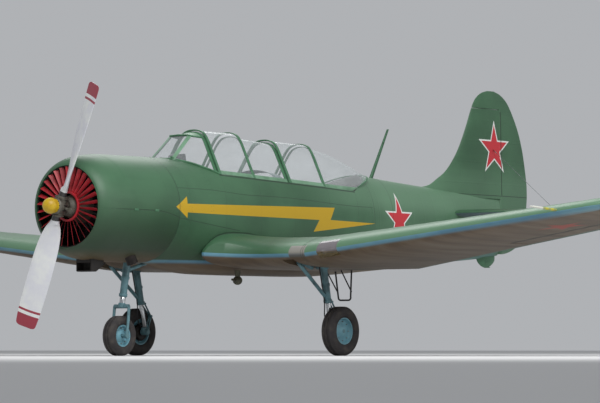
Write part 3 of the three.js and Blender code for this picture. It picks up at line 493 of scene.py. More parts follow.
class Finish:
    """A material being built, with x, y and z in stations."""

    def __init__(self, name):
        self.material = bpy.data.materials.new(name)
        self.material.use_nodes = True
        self.tree = self.material.node_tree
        self.surface = self.tree.nodes["Principled BSDF"]
        place = self.node("ShaderNodeTexCoord", {}, {}, "Object")
        self.place = self.node("ShaderNodeMapping", {}, {"Vector": place, "Location": tuple(-ORIGIN)})
        split = self.node("ShaderNodeSeparateXYZ", {}, {0: self.place})
        self.x, self.y, self.z = (Value(self, split.socket.node.outputs[i]) for i in range(3))

    def node(self, kind, settings, values, output=0):
        return Value(self, add_node(self.tree, kind, settings, values).outputs[output])

    def noise(self, scale, detail=3.0, stretch=(1, 1, 1)):
        where = self.node("ShaderNodeMapping", {}, {"Vector": self.place, "Scale": stretch})
        return self.node("ShaderNodeTexNoise", {}, {"Vector": where, "Scale": scale, "Detail": detail,
                                                    "Roughness": 0.55})

    def blend(self, factor, under, over):
        return self.node("ShaderNodeMix", {"data_type": "RGBA"}, {0: factor, 6: under, 7: over}, 2)

    def bump(self, height, distance):
        return self.node("ShaderNodeBump", {}, {"Height": height, "Distance": distance, "Strength": 1.0})

    def close(self, colour, roughness, metallic=0.0, normal=None, **fixed):
        """Feeds the surface and returns the material."""
        values = {"Base Color": colour, "Roughness": roughness, "Metallic": metallic}
        if normal:
            values["Normal"] = normal
        values.update({key.replace("_", " "): value for key, value in fixed.items()})
        feed(self.tree, self.surface, values)
        return self.material


def star(u, v, size):
    """Distance outside a five-pointed star that points along v."""
    point, edge = math.radians(36), math.radians(72)
    fold = u.math("ARCTAN2", v).math("PINGPONG", point)
    reach = (u * u + v * v) ** 0.5
    out = reach * fold.math("COSINE") * math.cos(edge) + reach * fold.math("SINE") * math.sin(edge)
    return out - math.cos(edge) * size


def edged_star(f, colour, part, colours):
    """A red star with a white edge on the side of one part."""
    x, z, size = STARS[part]
    outside = star(f.x - x, f.z - z, size)
    colour = f.blend(outside < STAR_EDGE, colour, colours.white)
    return f.blend(outside < 0.0, colour, colours.red)


def arrow(f):
    """1 inside the lightning arrow on the hull's side."""
    def below(name):
        x, z, rise = ARROW[name]
        return f.z < z + (f.x - x) * rise

    def behind(name, lean):
        x, z, _ = ARROW[name]
        return f.x > x + (f.z - z) * lean

    head = (f.x < HEAD_REAR) * below("head_top") * (1 - below("head_low"))
    shaft = (f.x > SHAFT_FRONT) * below("shaft_top") * (1 - below("shaft_low"))
    shaft = shaft * (1 - behind("bolt_top", 0.61))
    bolt = below("bolt_top") * (1 - below("bolt_low")) * behind("bolt_low", 0.8)
    return head.most(shaft).most(bolt)


def wing_place(f):
    """Height above the wing's chord plane, and distance aft of its leading edge."""
    out = (abs(f.y) - WING["root"]).most(0.0)
    aft = f.x - WING["le"] - out * WING["sweep"]
    height = f.z - WING["z"] - out * WING["dihedral"] + aft * math.tan(WING["incidence"])
    return height, aft


def lines(value, places, reach=0.004):
    """1 on each of several thin lines."""
    mask = value.near(places[0], reach)
    for at in places[1:]:
        mask = mask.most(value.near(at, reach))
    return mask


def weathering_and_painted_light(f, part, green, colours):
    """One part's green, darker towards the bottom as painted shade and with painted sky light on the leading
    edges, and masks of its blue underside and of its oil, dust and painted shade where it has them.
    """
    if part == "fin":
        return green, None, None
    if part == "tail":
        under = 1 - (f.z - PLANE_Z).step(-0.006, -0.002)
        # The tailplane's underside takes oil and dust with painted shade.
        return green, under, under * 0.55
    if part in ("wing", "centre"):
        height, aft = wing_place(f)
        edge = aft.step(0.0, 0.25) * 0.002 - 0.004
        # Painted sky light: paler green along the leading edges, on the centre section only outboard.
        paler = 0.55 if part == "wing" else abs(f.y).step(0.9, 1.4) * 0.5
        green = f.blend((1 - aft.step(0.02, 0.35)) * paler, green, colours.green_pale)
        # Oil and dust with painted shade cover the underside aft of the blue leading-edge strip.
        dirt_and_shade = aft.step(0.08, 0.16).most(1 - height.step(-0.052, -0.030))
        return green, 1 - (height - edge).step(-0.004, 0.0), dirt_and_shade
    if part == "cowl":
        # Painted shade: the cowl's green darkens towards the bottom.
        green = f.blend(1 - f.z.step(-0.6, 0.35), green, colours.green_low)
        # The cowl's lowest part takes oil and dust with painted shade.
        return green, None, 1 - f.z.step(-0.56, -0.40)
    # Painted shade: the hull's green darkens towards the bottom.
    green = f.blend((1 - f.z.step(-0.6, 0.1)) * 0.6, green, colours.green_low)
    # Paler green high on the hull from 3.4 m aft, and all over aft of 5 m.
    paler = f.z.step(0.0, 0.22) * f.x.step(3.4, 4.6) * 0.38 + f.x.step(4.75, 5.3) * 0.22
    green = f.blend(paler, green, colours.green_pale)
    if part == "hull":
        # The hull's belly takes oil and dust with painted shade.
        return green, 1 - f.z.step(-0.512, -0.5), 1 - f.z.step(-0.55, -0.52)
    # The rear hull's belly takes oil and dust with painted shade, fading out aft of 5.3 m.
    height = f.z - (f.x - HULL_SPLIT) * 0.09
    dirt_and_shade = (1 - height.step(-0.58, -0.48)) * (1 - f.x.step(5.3, 6.1))
    return green, 1 - height.step(-0.61, -0.60), dirt_and_shade


def hull_joints_and_shadow(f):
    """Panel joints on the front hull, the sill's shadow and the root fairing's edge."""
    belt = 0.209 - f.x.step(1.9, 2.75) * 0.036 - f.x.step(3.0, 4.7) * 0.055
    lower = (f.z + 0.095 + (f.x - 1.487) * 0.1).near(0.0, 0.004) * (f.x < 2.5)
    sill = f.z - sill_at(0.0) - f.x * SILL["slope"]
    shadow = sill.near(-0.010, 0.010) * (f.x > SILL["x"]) * (f.x < OPENING[2][0])
    seams_and_shadow = (lines(f.x, PANEL_JOINTS["hull"]) * 0.5).most((f.z - belt).near(0.0, 0.004) * 0.8)
    seams_and_shadow = seams_and_shadow.most(lower).most(shadow)
    for (x0, z0), (x1, z1) in zip(ROOT_LINE, ROOT_LINE[1:]):
        height = f.z - z0 - (f.x - x0) * ((z1 - z0) / (x1 - x0))
        seams_and_shadow = seams_and_shadow.most(height.near(0.006, 0.010) * (f.x > x0) * (f.x < x1))
    return seams_and_shadow


def marked(f, part, colour, under, streaks, colours):
    """One part's colour with its marks, and a mask of its panel joints, which on the hull also holds the
    painted shadow under the sill.
    """
    seams_and_shadow = None
    if part in ("wing", "centre"):
        height, aft = wing_place(f)
        # A bare metal patch on the left wing's leading edge: its pale pinkish grey is partly a painted
        # reflection, and below it turns to the dark tone of oil, dust and painted shade.
        bare = (abs(abs(f.y) - 1.40) < 0.10) * (aft < 0.16) * (abs(height) < 0.075) * (f.y < 0.0)
        worn = f.blend(height.step(-0.03, 0.01), colours.grime_dark, colours.bare)
        colour = f.blend(bare * 0.8, colour, worn)
    if part in ("hull", "rear", "cowl"):
        arrow_mask = arrow(f)
        colour = f.blend(arrow_mask, colour, colours.yellow)
    if part == "hull":
        seams_and_shadow = hull_joints_and_shadow(f) * (1 - arrow_mask * 0.8)
    elif part == "rear":
        seams_and_shadow = lines(f.x, PANEL_JOINTS["rear"])
        pale = f.x.step(6.8, 7.0) * (1 - f.x.step(7.6, 7.78)) * (1 - f.z.step(-0.24, -0.16))
        colour = edged_star(f, f.blend(pale * 0.3, colour, colours.blue_light), part, colours)
    elif part == "cowl":
        split = f.z - COWL_SPLIT + ((f.x - 1.05).most(0.0) ** 2.0) * 0.34
        seams_and_shadow = (split.near(0.0, 0.005) * f.x.step(0.45, 0.7)).most(f.x.near(1.30, 0.003) * 0.3)
        seams_and_shadow = seams_and_shadow.most(f.x.near(1.476, 0.008))
    elif part == "centre":
        seams_and_shadow = abs(f.y).near(1.452, 0.004).most(lines(f.x, PANEL_JOINTS["centre"]))
    elif part == "fin":
        patch = (abs(f.x - 7.22) < 0.22) * (abs(f.z - 0.565) < 0.06)
        colour = f.blend(patch * 0.35, colour, colours.green_light)
        colour = f.blend((1 - f.z.step(0.45, 0.75)) * 0.3, colour, colours.green_pale)
        colour = edged_star(f, colour, part, colours)
        seams_and_shadow = f.z.near(0.345, 0.006).most(f.x.near(RUDDER_X, 0.012) * (f.z > 0.35) * (f.z < 1.31))
    elif part == "wing":
        x, y, size = STARS["wing"]
        inside = 1 - star(abs(f.y) - y, x - f.x, size).step(-0.05, 0.0)
        # The star below each wing is a dull brownish red, blended in by the same streaky amount as the
        # underside's cover.
        colour = f.blend(inside * under * (0.6 + streaks * 0.7).least(0.92), colour, colours.red_faded)
        hinge = (f.x + abs(f.y) * 0.1579).near(3.9975, 0.05)
        hinge = hinge * (abs(f.y) > AILERON["inner"]) * (abs(f.y) < AILERON["outer"]) * under
        seams_and_shadow = abs(f.y).near(1.475, 0.004).most(hinge)
    return colour, seams_and_shadow


def livery(name, part):
    """Green enamel or dope for one part of the aircraft, with marks, blue underside, oil and dust with
    painted shade below, painted sky light on the leading edges, joints and the painted shadow under the
    sill.
    """
    f, shades = Finish(name), colours()
    patchy = f.noise(1.3, 4.0)
    streaks = f.noise(2.2, 5.0, (0.35, 3.0, 3.0))
    green = f.blend(patchy.step(0.35, 0.68), shades.green, shades.green_light)
    green = f.blend(streaks.step(0.52, 0.8) * 0.4, green, shades.green_dark)
    colour, under, dirt_and_shade = weathering_and_painted_light(f, part, green, shades)
    if under:
        blue = f.blend(patchy.step(0.3, 0.7), shades.blue, shades.blue_light)
        colour = f.blend(under, colour, blue)
    # Oil and dust with painted shade brown the lower surfaces.
    if dirt_and_shade:
        soiled_and_shaded = dirt_and_shade if part in ("cowl", "rear") else under * dirt_and_shade
        grime_and_shade = f.blend(streaks.step(0.3, 0.7), shades.grime_and_shade, shades.grime_dark)
        colour = f.blend(soiled_and_shaded * (0.8 + streaks * 0.35).least(0.98), colour, grime_and_shade)
    colour, seams_and_shadow = marked(f, part, colour, under, streaks, shades)
    relief = f.noise(38.0, 2.0) * 0.15
    if seams_and_shadow:
        # Dark panel joints, and on the hull the painted shadow under the sill.
        colour = f.blend(seams_and_shadow * 0.7, colour, shades.seam)
        relief = relief - seams_and_shadow
    if part in RIBS_ALONG:
        axis = {"x": f.x, "y": abs(f.y), "z": f.z}[RIBS_ALONG[part]]
        relief = relief + abs((axis / RIB_PITCH).math("FRACT") - 0.5).step(0.44, 0.5) * 0.8
    rough = 0.38 + patchy * 0.18
    if dirt_and_shade:
        rough = rough + dirt_and_shade * 0.15
    return f.close(colour, rough, 0.0, f.bump(relief, 0.0012), Coat_Weight=0.1, Coat_Roughness=0.4)


def enamel(name, colour, dark, roughness=0.4, metallic=0.0, wear=None, scale=9.0, grain=0.0006):
    """A painted or bare surface with soft patches, and worn spots if given."""
    f = Finish(name)
    patches = f.noise(scale, 5.0)
    paint = f.blend(patches.step(0.38, 0.72), tone(*colour), tone(*dark))
    if wear:
        paint = f.blend(f.noise(scale * 5, 4.0).step(0.66, 0.74), paint, tone(*wear))
    return f.close(paint, roughness + patches * 0.15, metallic, f.bump(f.noise(scale * 12, 2.0), grain))


def blade_finish():
    """Pale blades with red tips and bands, and dark feet."""
    f, shades = Finish("blade_paint"), colours()
    hub = station("propeller_spin")
    reach = ((f.y - hub.y) * (f.y - hub.y) + (f.z - hub.z) * (f.z - hub.z)) ** 0.5
    colour = f.blend(f.noise(5.0).step(0.35, 0.7), shades.silver, shades.white)
    band = (reach > 1.145).most((reach > 1.090) * (reach < 1.113))
    colour = f.blend(band, colour, shades.band)
    colour = f.blend(reach < 0.152, colour, (0.03, 0.03, 0.03, 1))
    chips = f.noise(60.0, 4.0).step(0.66, 0.76) * reach.step(0.5, 1.2) * 0.5
    colour = f.blend(chips, colour, shades.grime_and_shade)
    return f.close(colour, 0.3 + f.noise(12.0) * 0.15, 0.0, f.bump(f.noise(30.0), 0.0003), Coat_Weight=0.3)


def rubber(name, joint):
    """Dusty tyre rubber with tread grooves round its axle."""
    f, axle = Finish(name), station(joint)
    radius = ((f.x - axle.x) * (f.x - axle.x) + (f.z - axle.z) * (f.z - axle.z)) ** 0.5
    dust = f.noise(14.0, 5.0).step(0.4, 0.75)
    colour = f.blend(dust * 0.55, tone(44, 41, 42), tone(92, 86, 80))
    grooves = (radius * 260.0).math("SINE") * 0.15
    return f.close(colour, 0.72 + dust * 0.2, 0.0, f.bump(grooves + f.noise(90.0) * 0.4, 0.0008))


def glass(clear=0.06, rim=0.36):
    """Clear panes with a painted reflection: they turn whiter and less clear at a glancing angle."""
    f = Finish("clear_acrylic")
    glancing_sheen = f.node("ShaderNodeLayerWeight", {}, {"Blend": 0.35}, "Facing")
    smear = f.noise(3.0, 5.0, (1, 1, 2.2)).step(0.45, 0.8)
    f.material.surface_render_method = "BLENDED"
    # Painted reflection: the white panes grow opaque at a glancing angle; smears add a little more.
    alpha = clear + glancing_sheen * glancing_sheen * rim + smear * 0.05
    return f.close(tone(226, 234, 236), 0.06 + smear * 0.1, Alpha=alpha)


def lamp_cover():
    """Yellowed glass over the landing lamps: grey above, ochre below."""
    f = Finish("lamp_cover")
    colour = f.blend((f.z - f.x * 0.3).step(-1.13, -1.09), tone(104, 88, 50), tone(132, 126, 130))
    return f.close(colour, 0.12, Alpha=0.8)


def pitot_finish(plain=2.06, pitch=0.09):
    """A pale front and yellow bands along the tube."""
    f = Finish("pitot_enamel")
    bands = ((f.x - plain) / pitch).math("FRACT") > 0.45
    striped = f.blend(bands, tone(146, 152, 92), tone(186, 178, 50))
    colour = f.blend(f.x > plain, tone(206, 206, 196), striped)
    return f.close(colour, 0.35 + f.noise(20.0) * 0.15)


LIVERIES = {"hull": "hull_enamel", "rear": "rear_dope", "cowl": "cowl_enamel", "wing": "wing_dope",
            "centre": "centre_enamel", "tail": "tail_dope", "fin": "fin_dope"}
# Fabric over ribs: the parts, and the axis that the ribs follow one another along
RIBS_ALONG = {"wing": "y", "tail": "y", "rear": "x", "fin": "z"}
# Enamel, metal, cloth: material, colour, dark patches, roughness, metallic, worn spots, patch scale, grain
ENAMELS = {
    "frame": ("frame_enamel", (72, 118, 86), (56, 98, 70), 0.38, 0.0, (110, 134, 114)),
    # rail: the frame's green made paler, a painted highlight on the sill rails, windscreen posts and screen
    # roof
    "rail": ("rail_enamel", (112, 150, 122), (92, 130, 102), 0.4),
    "deck": ("deck_grey", (60, 64, 60), (44, 48, 46), 0.6),
    "hub": ("hub_casting", (110, 107, 97), (70, 66, 59), 0.42, 0.45, (48, 44, 38)),
    "crank": ("crankcase_nose", (96, 92, 82), (66, 62, 54), 0.5, 0.3),
    # scoop: dark brown all over
    "scoop": ("scoop_soot", (34, 30, 27), (22, 20, 18), 0.6),
    "stud": ("stud_enamel", (60, 108, 76), (44, 84, 58), 0.4),
    "gear": ("gear_enamel", (96, 134, 142), (66, 92, 98), 0.42, 0.0, (70, 62, 54)),
    "rim": ("rim_enamel", (112, 162, 176), (90, 136, 150), 0.36, 0.0, (80, 84, 82)),
    "steel": ("bare_steel", (140, 140, 138), (96, 92, 88), 0.34, 0.85),
    "chrome": ("bright_steel", (190, 192, 194), (160, 162, 164), 0.14, 1.0),
    "dark": ("sooty_metal", (44, 40, 38), (24, 22, 21), 0.55, 0.4, (70, 60, 50)),
    "engine": ("engine_castings", (46, 46, 46), (26, 26, 26), 0.5, 0.5),
    "exhaust": ("exhaust_steel", (52, 45, 42), (34, 30, 29), 0.55, 0.5, (88, 70, 58)),
    "shutter": ("shutter_enamel", (186, 38, 48), (136, 22, 30), 0.36, 0.0, (90, 20, 26)),
    "cap": ("cap_enamel", (200, 166, 20), (176, 138, 16), 0.3),
    "black": ("matt_black", (34, 34, 36), (22, 22, 24), 0.6, 0.0, (70, 68, 64)),
    "grey": ("cockpit_grey", (96, 112, 112), (78, 92, 92), 0.55, 0.0, (60, 58, 54)),
    "dial": ("dial_face", (18, 18, 20), (12, 12, 14), 0.25),
    "mark": ("dial_marks", (214, 220, 206), (190, 196, 184), 0.5),
    "canvas": ("seat_canvas", (92, 78, 58), (68, 58, 44), 0.85, 0.0, None, 16.0, 0.002),
    "housing": ("housing_enamel", (92, 92, 74), (60, 58, 48), 0.5, 0.0, (60, 50, 40)),
    "mast": ("mast_enamel", (60, 104, 74), (44, 84, 58), 0.4),
}
OTHERS = {
    "blade": blade_finish,
    "glass": glass,
    "lamp": lamp_cover,
    "pitot": pitot_finish,
    "tyre_left": lambda: rubber("tyre_left", "main_wheel_left_spin"),
    "tyre_nose": lambda: rubber("tyre_nose", "nose_wheel_spin"),
}
FINISHES = {}


def finish(label):
    """A material by its label in the tables above, made once."""
    if label not in FINISHES:
        if label in LIVERIES:
            FINISHES[label] = livery(LIVERIES[label], label)
        elif label in ENAMELS:
            FINISHES[label] = enamel(*ENAMELS[label])
        else:
            FINISHES[label] = OTHERS[label]()
    return FINISHES[label]


# Settings

class TrainerColours(bpy.types.PropertyGroup):
    """The livery's colours, in linear light."""

    def colour(label, about, shade):
        return FloatVectorProperty(name=label, description=about, subtype="COLOR", size=4, min=0, max=1,
                                   default=shade)

    green: colour("Green", "Upper enamel", tone(52, 90, 62))
    green_light: colour("Faded green", "Sun-faded patches", tone(64, 105, 74))
    # Paler green: painted sky light along the leading edges, and paler patches on the hull and the fin's
    # foot
    green_pale: colour("Pale green", "Chalky leading edges and dope", tone(110, 148, 118))
    green_dark: colour("Dark green", "Streaks", tone(42, 78, 54))
    # Darker green towards the bottom of cowl and hull: painted shade
    green_low: colour("Low green", "Oily green below", tone(26, 50, 26))
    blue: colour("Blue", "Lower surfaces", tone(74, 122, 146))
    blue_light: colour("Pale blue", "Faded lower surfaces", tone(104, 150, 164))
    # Oil, dust and painted shade below, in a light and a dark tone; the light one also marks chips on the
    # blades
    grime_and_shade: colour("Grime", "Oil and dust below", tone(110, 90, 64))
    grime_dark: colour("Dark grime", "Thick oil below", tone(84, 66, 45))
    yellow: colour("Yellow", "Lightning arrow", tone(192, 154, 10))
    red: colour("Red", "Stars", tone(196, 42, 52))
    # Dull brownish red of the stars below the wings
    red_faded: colour("Faded red", "Stars below the wings", tone(158, 62, 46))
    band: colour("Band red", "Blade tips and bands", tone(150, 46, 62))
    # Bare metal; its pale pinkish grey is partly a painted reflection
    bare: colour("Bare metal", "Unpainted patch on the left wing", tone(150, 140, 138))
    white: colour("White", "Star edges and blades", tone(226, 228, 224))
    silver: colour("Silver", "Blades", tone(212, 213, 219))
    # Panel joints, and the painted shadow under the sill
    seam: colour("Seam", "Panel joints", tone(26, 40, 30))


class TrainerSizes(bpy.types.PropertyGroup):
    """Sizes of the fittings that repeat, and the camera's distance."""

    vanes: IntProperty(name="Vanes", description="Cooling shutter vanes", default=30, min=8, max=60)
    vane_angle: FloatProperty(name="Vane angle", description="How far the vanes stand open", subtype="ANGLE",
                              default=math.radians(55))
    cylinders: IntProperty(name="Cylinders", description="Cylinders round the crankcase", default=9,
                           min=5, max=9)
    stud: FloatProperty(name="Stud radius", description="Domed rivet heads", unit="LENGTH", default=0.0032)
    stud_gap: FloatProperty(name="Stud spacing", description="Between rivets", unit="LENGTH", default=0.045)
    camera_far: FloatProperty(name="Camera distance", description="From the hull's middle", unit="LENGTH",
                              default=38.0)


def colours():
    return bpy.context.scene.trainer_colours


def sizes():
    return bpy.context.scene.trainer_sizes


# Sections

def edge_height(x):
    """Height of the hull's edge under the canopy at a station, or None where the hull is closed."""
    if not OPENING[0][0] < x < OPENING[-1][0]:
        return None
    return float(np.interp(x, [p[0] for p in OPENING], [p[1] for p in OPENING]))


def sill_at(x):
    return SILL["z"] + SILL["slope"] * (x - SILL["x"])


def hull_ring(x, inset=0.0, count=104, lowest=None):
    """Points from the left edge round the belly to the right edge."""
    top, middle, low, half, above, below = spline(HULL, x)
    edge = edge_height(x)
    start = 0.0
    if edge is not None:
        start = math.acos(max(0.0, min(1.0, (edge - middle) / (top - middle - inset))) ** (above / 2))
    ring = []
    for i in range(count + 1):
        a = start + (2 * math.pi - 2 * start) * i / count
        s, c = math.sin(a), math.cos(a)
        power = above if c >= 0 else below
        reach = (top - middle if c >= 0 else middle - low) - inset
        y = -math.copysign(abs(s) ** (2 / power), s) * (half - inset)
        z = middle + math.copysign(abs(c) ** (2 / power), c) * reach
        ring.append((x, y, z if lowest is None else max(z, lowest)))
    return ring


def hull_side(x, z):
    """Half width of the hull at a station and height."""
    top, middle, low, half, above, below = spline(HULL, x)
    power, reach = (above, top - middle) if z >= middle else (below, middle - low)
    return half * max(0.0, 1 - min(1.0, abs(z - middle) / reach) ** power) ** (1 / power)


def section_half(f):
    """Half thickness of a streamlined section of unit thickness, at a fraction of its chord."""
    return 5 * (0.2969 * math.sqrt(f) - 0.126 * f - 0.3516 * f**2 + 0.2843 * f**3 - 0.1036 * f**4)


def camber_line(f, m):
    """Rise of the section's middle line, m high at 0.4 of the chord."""
    return (m / 0.16) * (0.8 * f - f * f) if f < 0.4 else (m / 0.36) * (0.2 + 0.8 * f - f * f)


def streamline(chord, thickness, camber=0.0, incidence=0.0, steps=30, sag=0.0):
    """(along, across) points from the trailing edge over the nose and back below."""
    ring = []
    for i in range(-steps, steps + 1):
        f = (1 - math.cos(math.pi * i / steps)) / 2
        half = 0.0 if i == 0 else section_half(f) * thickness * chord + 0.0015 * f
        half -= sag * smooth(0.06, 0.2, f) * (1 - smooth(0.85, 0.97, f)) if half > 2 * sag else 0.0
        along, across = f * chord, camber_line(f, camber) * chord + (half if i < 0 else -half)
        ring.append((along * math.cos(incidence) + across * math.sin(incidence),
                     across * math.cos(incidence) - along * math.sin(incidence)))
    return ring


def wing_at(y):
    """Leading edge, its height, chord and thickness ratio at a distance from the middle."""
    out = abs(y) - WING["root"]
    if out <= 0:
        return WING["le"], WING["z"], WING["chord"], WING["thickness"]
    part = out / (HALF_SPAN - WING["root"])
    le, chord = WING["le"] + WING["sweep"] * out, mix(WING["chord"], WING["tip_chord"], part)
    tip = min(0.9995, max(0.0, (abs(y) - WING["tip"]) / (HALF_SPAN - WING["tip"])))
    rounded = math.sqrt(1 - tip * tip)
    return (le + 0.42 * chord * (1 - rounded), WING["z"] + WING["dihedral"] * out, chord * rounded,
            mix(WING["thickness"], WING["tip_thickness"], part))


def wing_ring(y, sag=0.0):
    le, z, chord, thickness = wing_at(y)
    ring = streamline(chord, thickness, WING["camber"], WING["incidence"], sag=sag)
    return [(le + a, y, z + b) for a, b in ring]


def wing_middle(y, f):
    """The middle of the wing's thickness at a fraction of its chord, and half that thickness."""
    le, z, chord, thickness = wing_at(y)
    along, rise = f * chord, camber_line(f, WING["camber"]) * chord
    lean = WING["incidence"]
    point = Vector((le + along * math.cos(lean), y, z + rise - along * math.sin(lean)))
    return point, section_half(f) * thickness * chord


def centre_ring(y):
    """A wing section that grows into the root fairing beside the hull and is cut down inside it."""
    inner = abs(y) < 0.42
    s = (FAIRING["out"] - abs(y)) / (FAIRING["out"] - FAIRING["side"])
    s = 0.0 if inner else min(1.0, max(0.0, s))
    forward = FAIRING["forward"] * s**2.2
    chord = WING["chord"] + forward
    thickness = WING["thickness"] * WING["chord"] / chord
    ring = streamline(chord, thickness, WING["camber"], WING["incidence"], 40)
    points = []
    for i, (a, b) in enumerate(ring):
        x, z = WING["le"] - forward + a, WING["z"] + b
        if i < 40 and s > 0:
            raised = float(spline(ROOT_LINE, min(max(x, ROOT_LINE[0][0]), ROOT_LINE[-1][0]))[0])
            z = mix(z, max(z, raised), s**1.8)
        points.append((x, y, min(z, -0.47) if inner else z))
    return points


def bend(start, pull, end, steps=8):
    """Points of a quadratic curve, without its end."""
    parts = [i / steps for i in range(steps)]
    return [start * (1 - t) ** 2 + pull * 2 * t * (1 - t) + end * t * t for t in parts]


def arch_curve(arch, inset=0.0):
    """49 points over an arch from left sill to right: straight sides, round shoulders, a low roof."""
    x0, half, x1, top = arch
    foot, half, top = sill_at(x0), half - inset, top - inset
    crown = Vector((0, top))
    if arch == ARCHES["tail"][-1]:
        side = [Vector((half * math.cos(a) ** 0.8, foot + (top - foot) * math.sin(a) ** 0.8))
                for a in (math.pi * i / 48 for i in range(24))]
    else:
        corner = Vector((ROOF * half, top - SHOULDER))
        pull = Vector((0.45 * corner.x, top))
        start = Vector((half, foot))
        shoulder, roof = corner.lerp(start, 0.22), corner.lerp(pull, 0.5)
        side = [start.lerp(shoulder, i / 8) for i in range(8)]
        side += bend(shoulder, corner, roof) + bend(roof, pull, crown)

    def place(p, sign):
        return Vector((mix(x0, x1, (p.y - foot) / (top - foot)), sign * p.x, p.y))

    return [place(p, -1) for p in side] + [place(crown, 1)] + [place(p, 1) for p in reversed(side)]


# Repeats by geometry nodes

def node_tree(name, inputs):
    """An empty geometry tree, its inputs' identifiers and its inputs' sockets, by name."""
    tree = bpy.data.node_groups.new(name, "GeometryNodeTree")
    tree.interface.new_socket("Geometry", in_out="INPUT", socket_type="NodeSocketGeometry")
    identifiers = {}
    for label, kind in inputs.items():
        made = tree.interface.new_socket(label, in_out="INPUT", socket_type="NodeSocket" + kind)
        identifiers[label] = made.identifier
    tree.interface.new_socket("Geometry", in_out="OUTPUT", socket_type="NodeSocketGeometry")
    return tree, identifiers, tree.nodes.new("NodeGroupInput").outputs


def grow(tree, kind, values, **settings):
    """A geometry node's first output."""
    return add_node(tree, kind, settings, values).outputs[0]


def end_tree(tree, copies, coat):
    """Makes instances real, gives them their finish and ends the tree."""
    real = grow(tree, "GeometryNodeRealizeInstances", {0: copies})
    coated = grow(tree, "GeometryNodeSetMaterial", {"Geometry": real, "Material": coat})
    tree.links.new(coated, tree.nodes.new("NodeGroupOutput").inputs[0])


def ring_tree():
    """Copies of the base turned about an axis through a centre."""
    inputs = {"Count": "Int", "Centre": "Vector", "Axis": "Vector", "Finish": "Material"}
    tree, identifiers, given = node_tree("turned_copies", inputs)
    index = grow(tree, "GeometryNodeInputIndex", {})
    share = grow(tree, "ShaderNodeMath", {0: index, 1: given["Count"]}, operation="DIVIDE")
    angle = grow(tree, "ShaderNodeMath", {0: share, 1: 2 * math.pi}, operation="MULTIPLY")
    turn = grow(tree, "FunctionNodeAxisAngleToRotation", {"Axis": given["Axis"], "Angle": angle})
    away = grow(tree, "ShaderNodeVectorMath", {0: given["Centre"], "Scale": -1}, operation="SCALE")
    centred = grow(tree, "GeometryNodeTransform", {"Geometry": given["Geometry"], "Translation": away})
    points = grow(tree, "GeometryNodePoints", {"Count": given["Count"]})
    copies = grow(tree, "GeometryNodeInstanceOnPoints",
                  {"Points": points, "Instance": centred, "Rotation": turn})
    back = grow(tree, "GeometryNodeTransform", {"Geometry": copies, "Translation": given["Centre"]})
    end_tree(tree, back, given["Finish"])
    return tree, identifiers


def stud_tree():
    """A low dome at each step along the base's edges."""
    inputs = {"Spacing": "Float", "Radius": "Float", "Finish": "Material"}
    tree, identifiers, given = node_tree("studs", inputs)
    curve = grow(tree, "GeometryNodeMeshToCurve", {"Mesh": given["Geometry"]})
    steps = grow(tree, "GeometryNodeResampleCurve", {"Curve": curve, "Length": given["Spacing"]},
                 mode="LENGTH")
    dome = grow(tree, "GeometryNodeMeshIcoSphere", {"Radius": given["Radius"], "Subdivisions": 1})
    copies = grow(tree, "GeometryNodeInstanceOnPoints", {"Points": steps, "Instance": dome})
    end_tree(tree, copies, given["Finish"])
    return tree, identifiers


def repeat(base, made, values):
    """Applies a tree to a base object, its inputs by name, and leaves the result as plain mesh."""
    tree, identifiers = made
    change = base.modifiers.new("repeat", "NODES")
    change.node_group = tree
    for label, value in values.items():
        change[identifiers[label]] = value
    graph = bpy.context.evaluated_depsgraph_get()
    mesh = bpy.data.meshes.new_from_object(base.evaluated_get(graph))
    name = base.name
    bpy.data.objects.remove(base)
    mesh.materials.clear()
    mesh.materials.append(values["Finish"])
    return shade(added(name, mesh), 40)


def ring_of(shape, name, label, count, centre=(0, 0, 0), axis=(1, 0, 0)):
    """A shape repeated round an axis through a station, as one piece."""
    centre = tuple(Vector(centre) + ORIGIN)
    values = {"Count": count, "Centre": centre, "Axis": axis, "Finish": finish(label)}
    return repeat(shape.make(name, label), ring_tree(), values)


def studs_along(name, paths, label):
    """Domed heads along several station paths, as one piece."""
    mesh = bpy.data.meshes.new(name)
    points, edges = [], []
    for path in paths:
        edges += [(len(points) + i, len(points) + i + 1) for i in range(len(path) - 1)]
        points += [tuple(Vector(p) + ORIGIN) for p in path]
    mesh.from_pydata(points, edges, [])
    values = {"Spacing": sizes().stud_gap, "Radius": sizes().stud, "Finish": finish(label)}
    return repeat(added(name, mesh), stud_tree(), values)


# Hull

def build_hull():
    stations = spread((HULL_FRONT, HULL_SPLIT, 76), (1.8, 1.83, 5), (2.2, 2.3, 5), (2.267, 2.267, 1),
                      (4.58, 4.64, 5), (4.609, 4.609, 1))
    front = Shape().grid([hull_ring(x) for x in stations])
    fit(front, "hull_front", "hull", "skin_green", "fuselage_front", wall=0.012)
    rings = [hull_ring(x) for x in spread((HULL_SPLIT + HAIR, HULL_REAR, 70), (5.08, 5.105, 5))]
    rear = Shape().grid(rings)
    rear.grid([rings[-1], [(HULL_REAR, 0, p[2]) for p in rings[-1]]])
    hollow = Shape().rod((RUDDER_X, 0, -0.5), (RUDDER_X, 0, 0.6), 0.055, 32).make("hollow")
    mount(carve(rear.make("hull_rear", "rear", wall=0.006), [hollow]), "fuselage_rear")


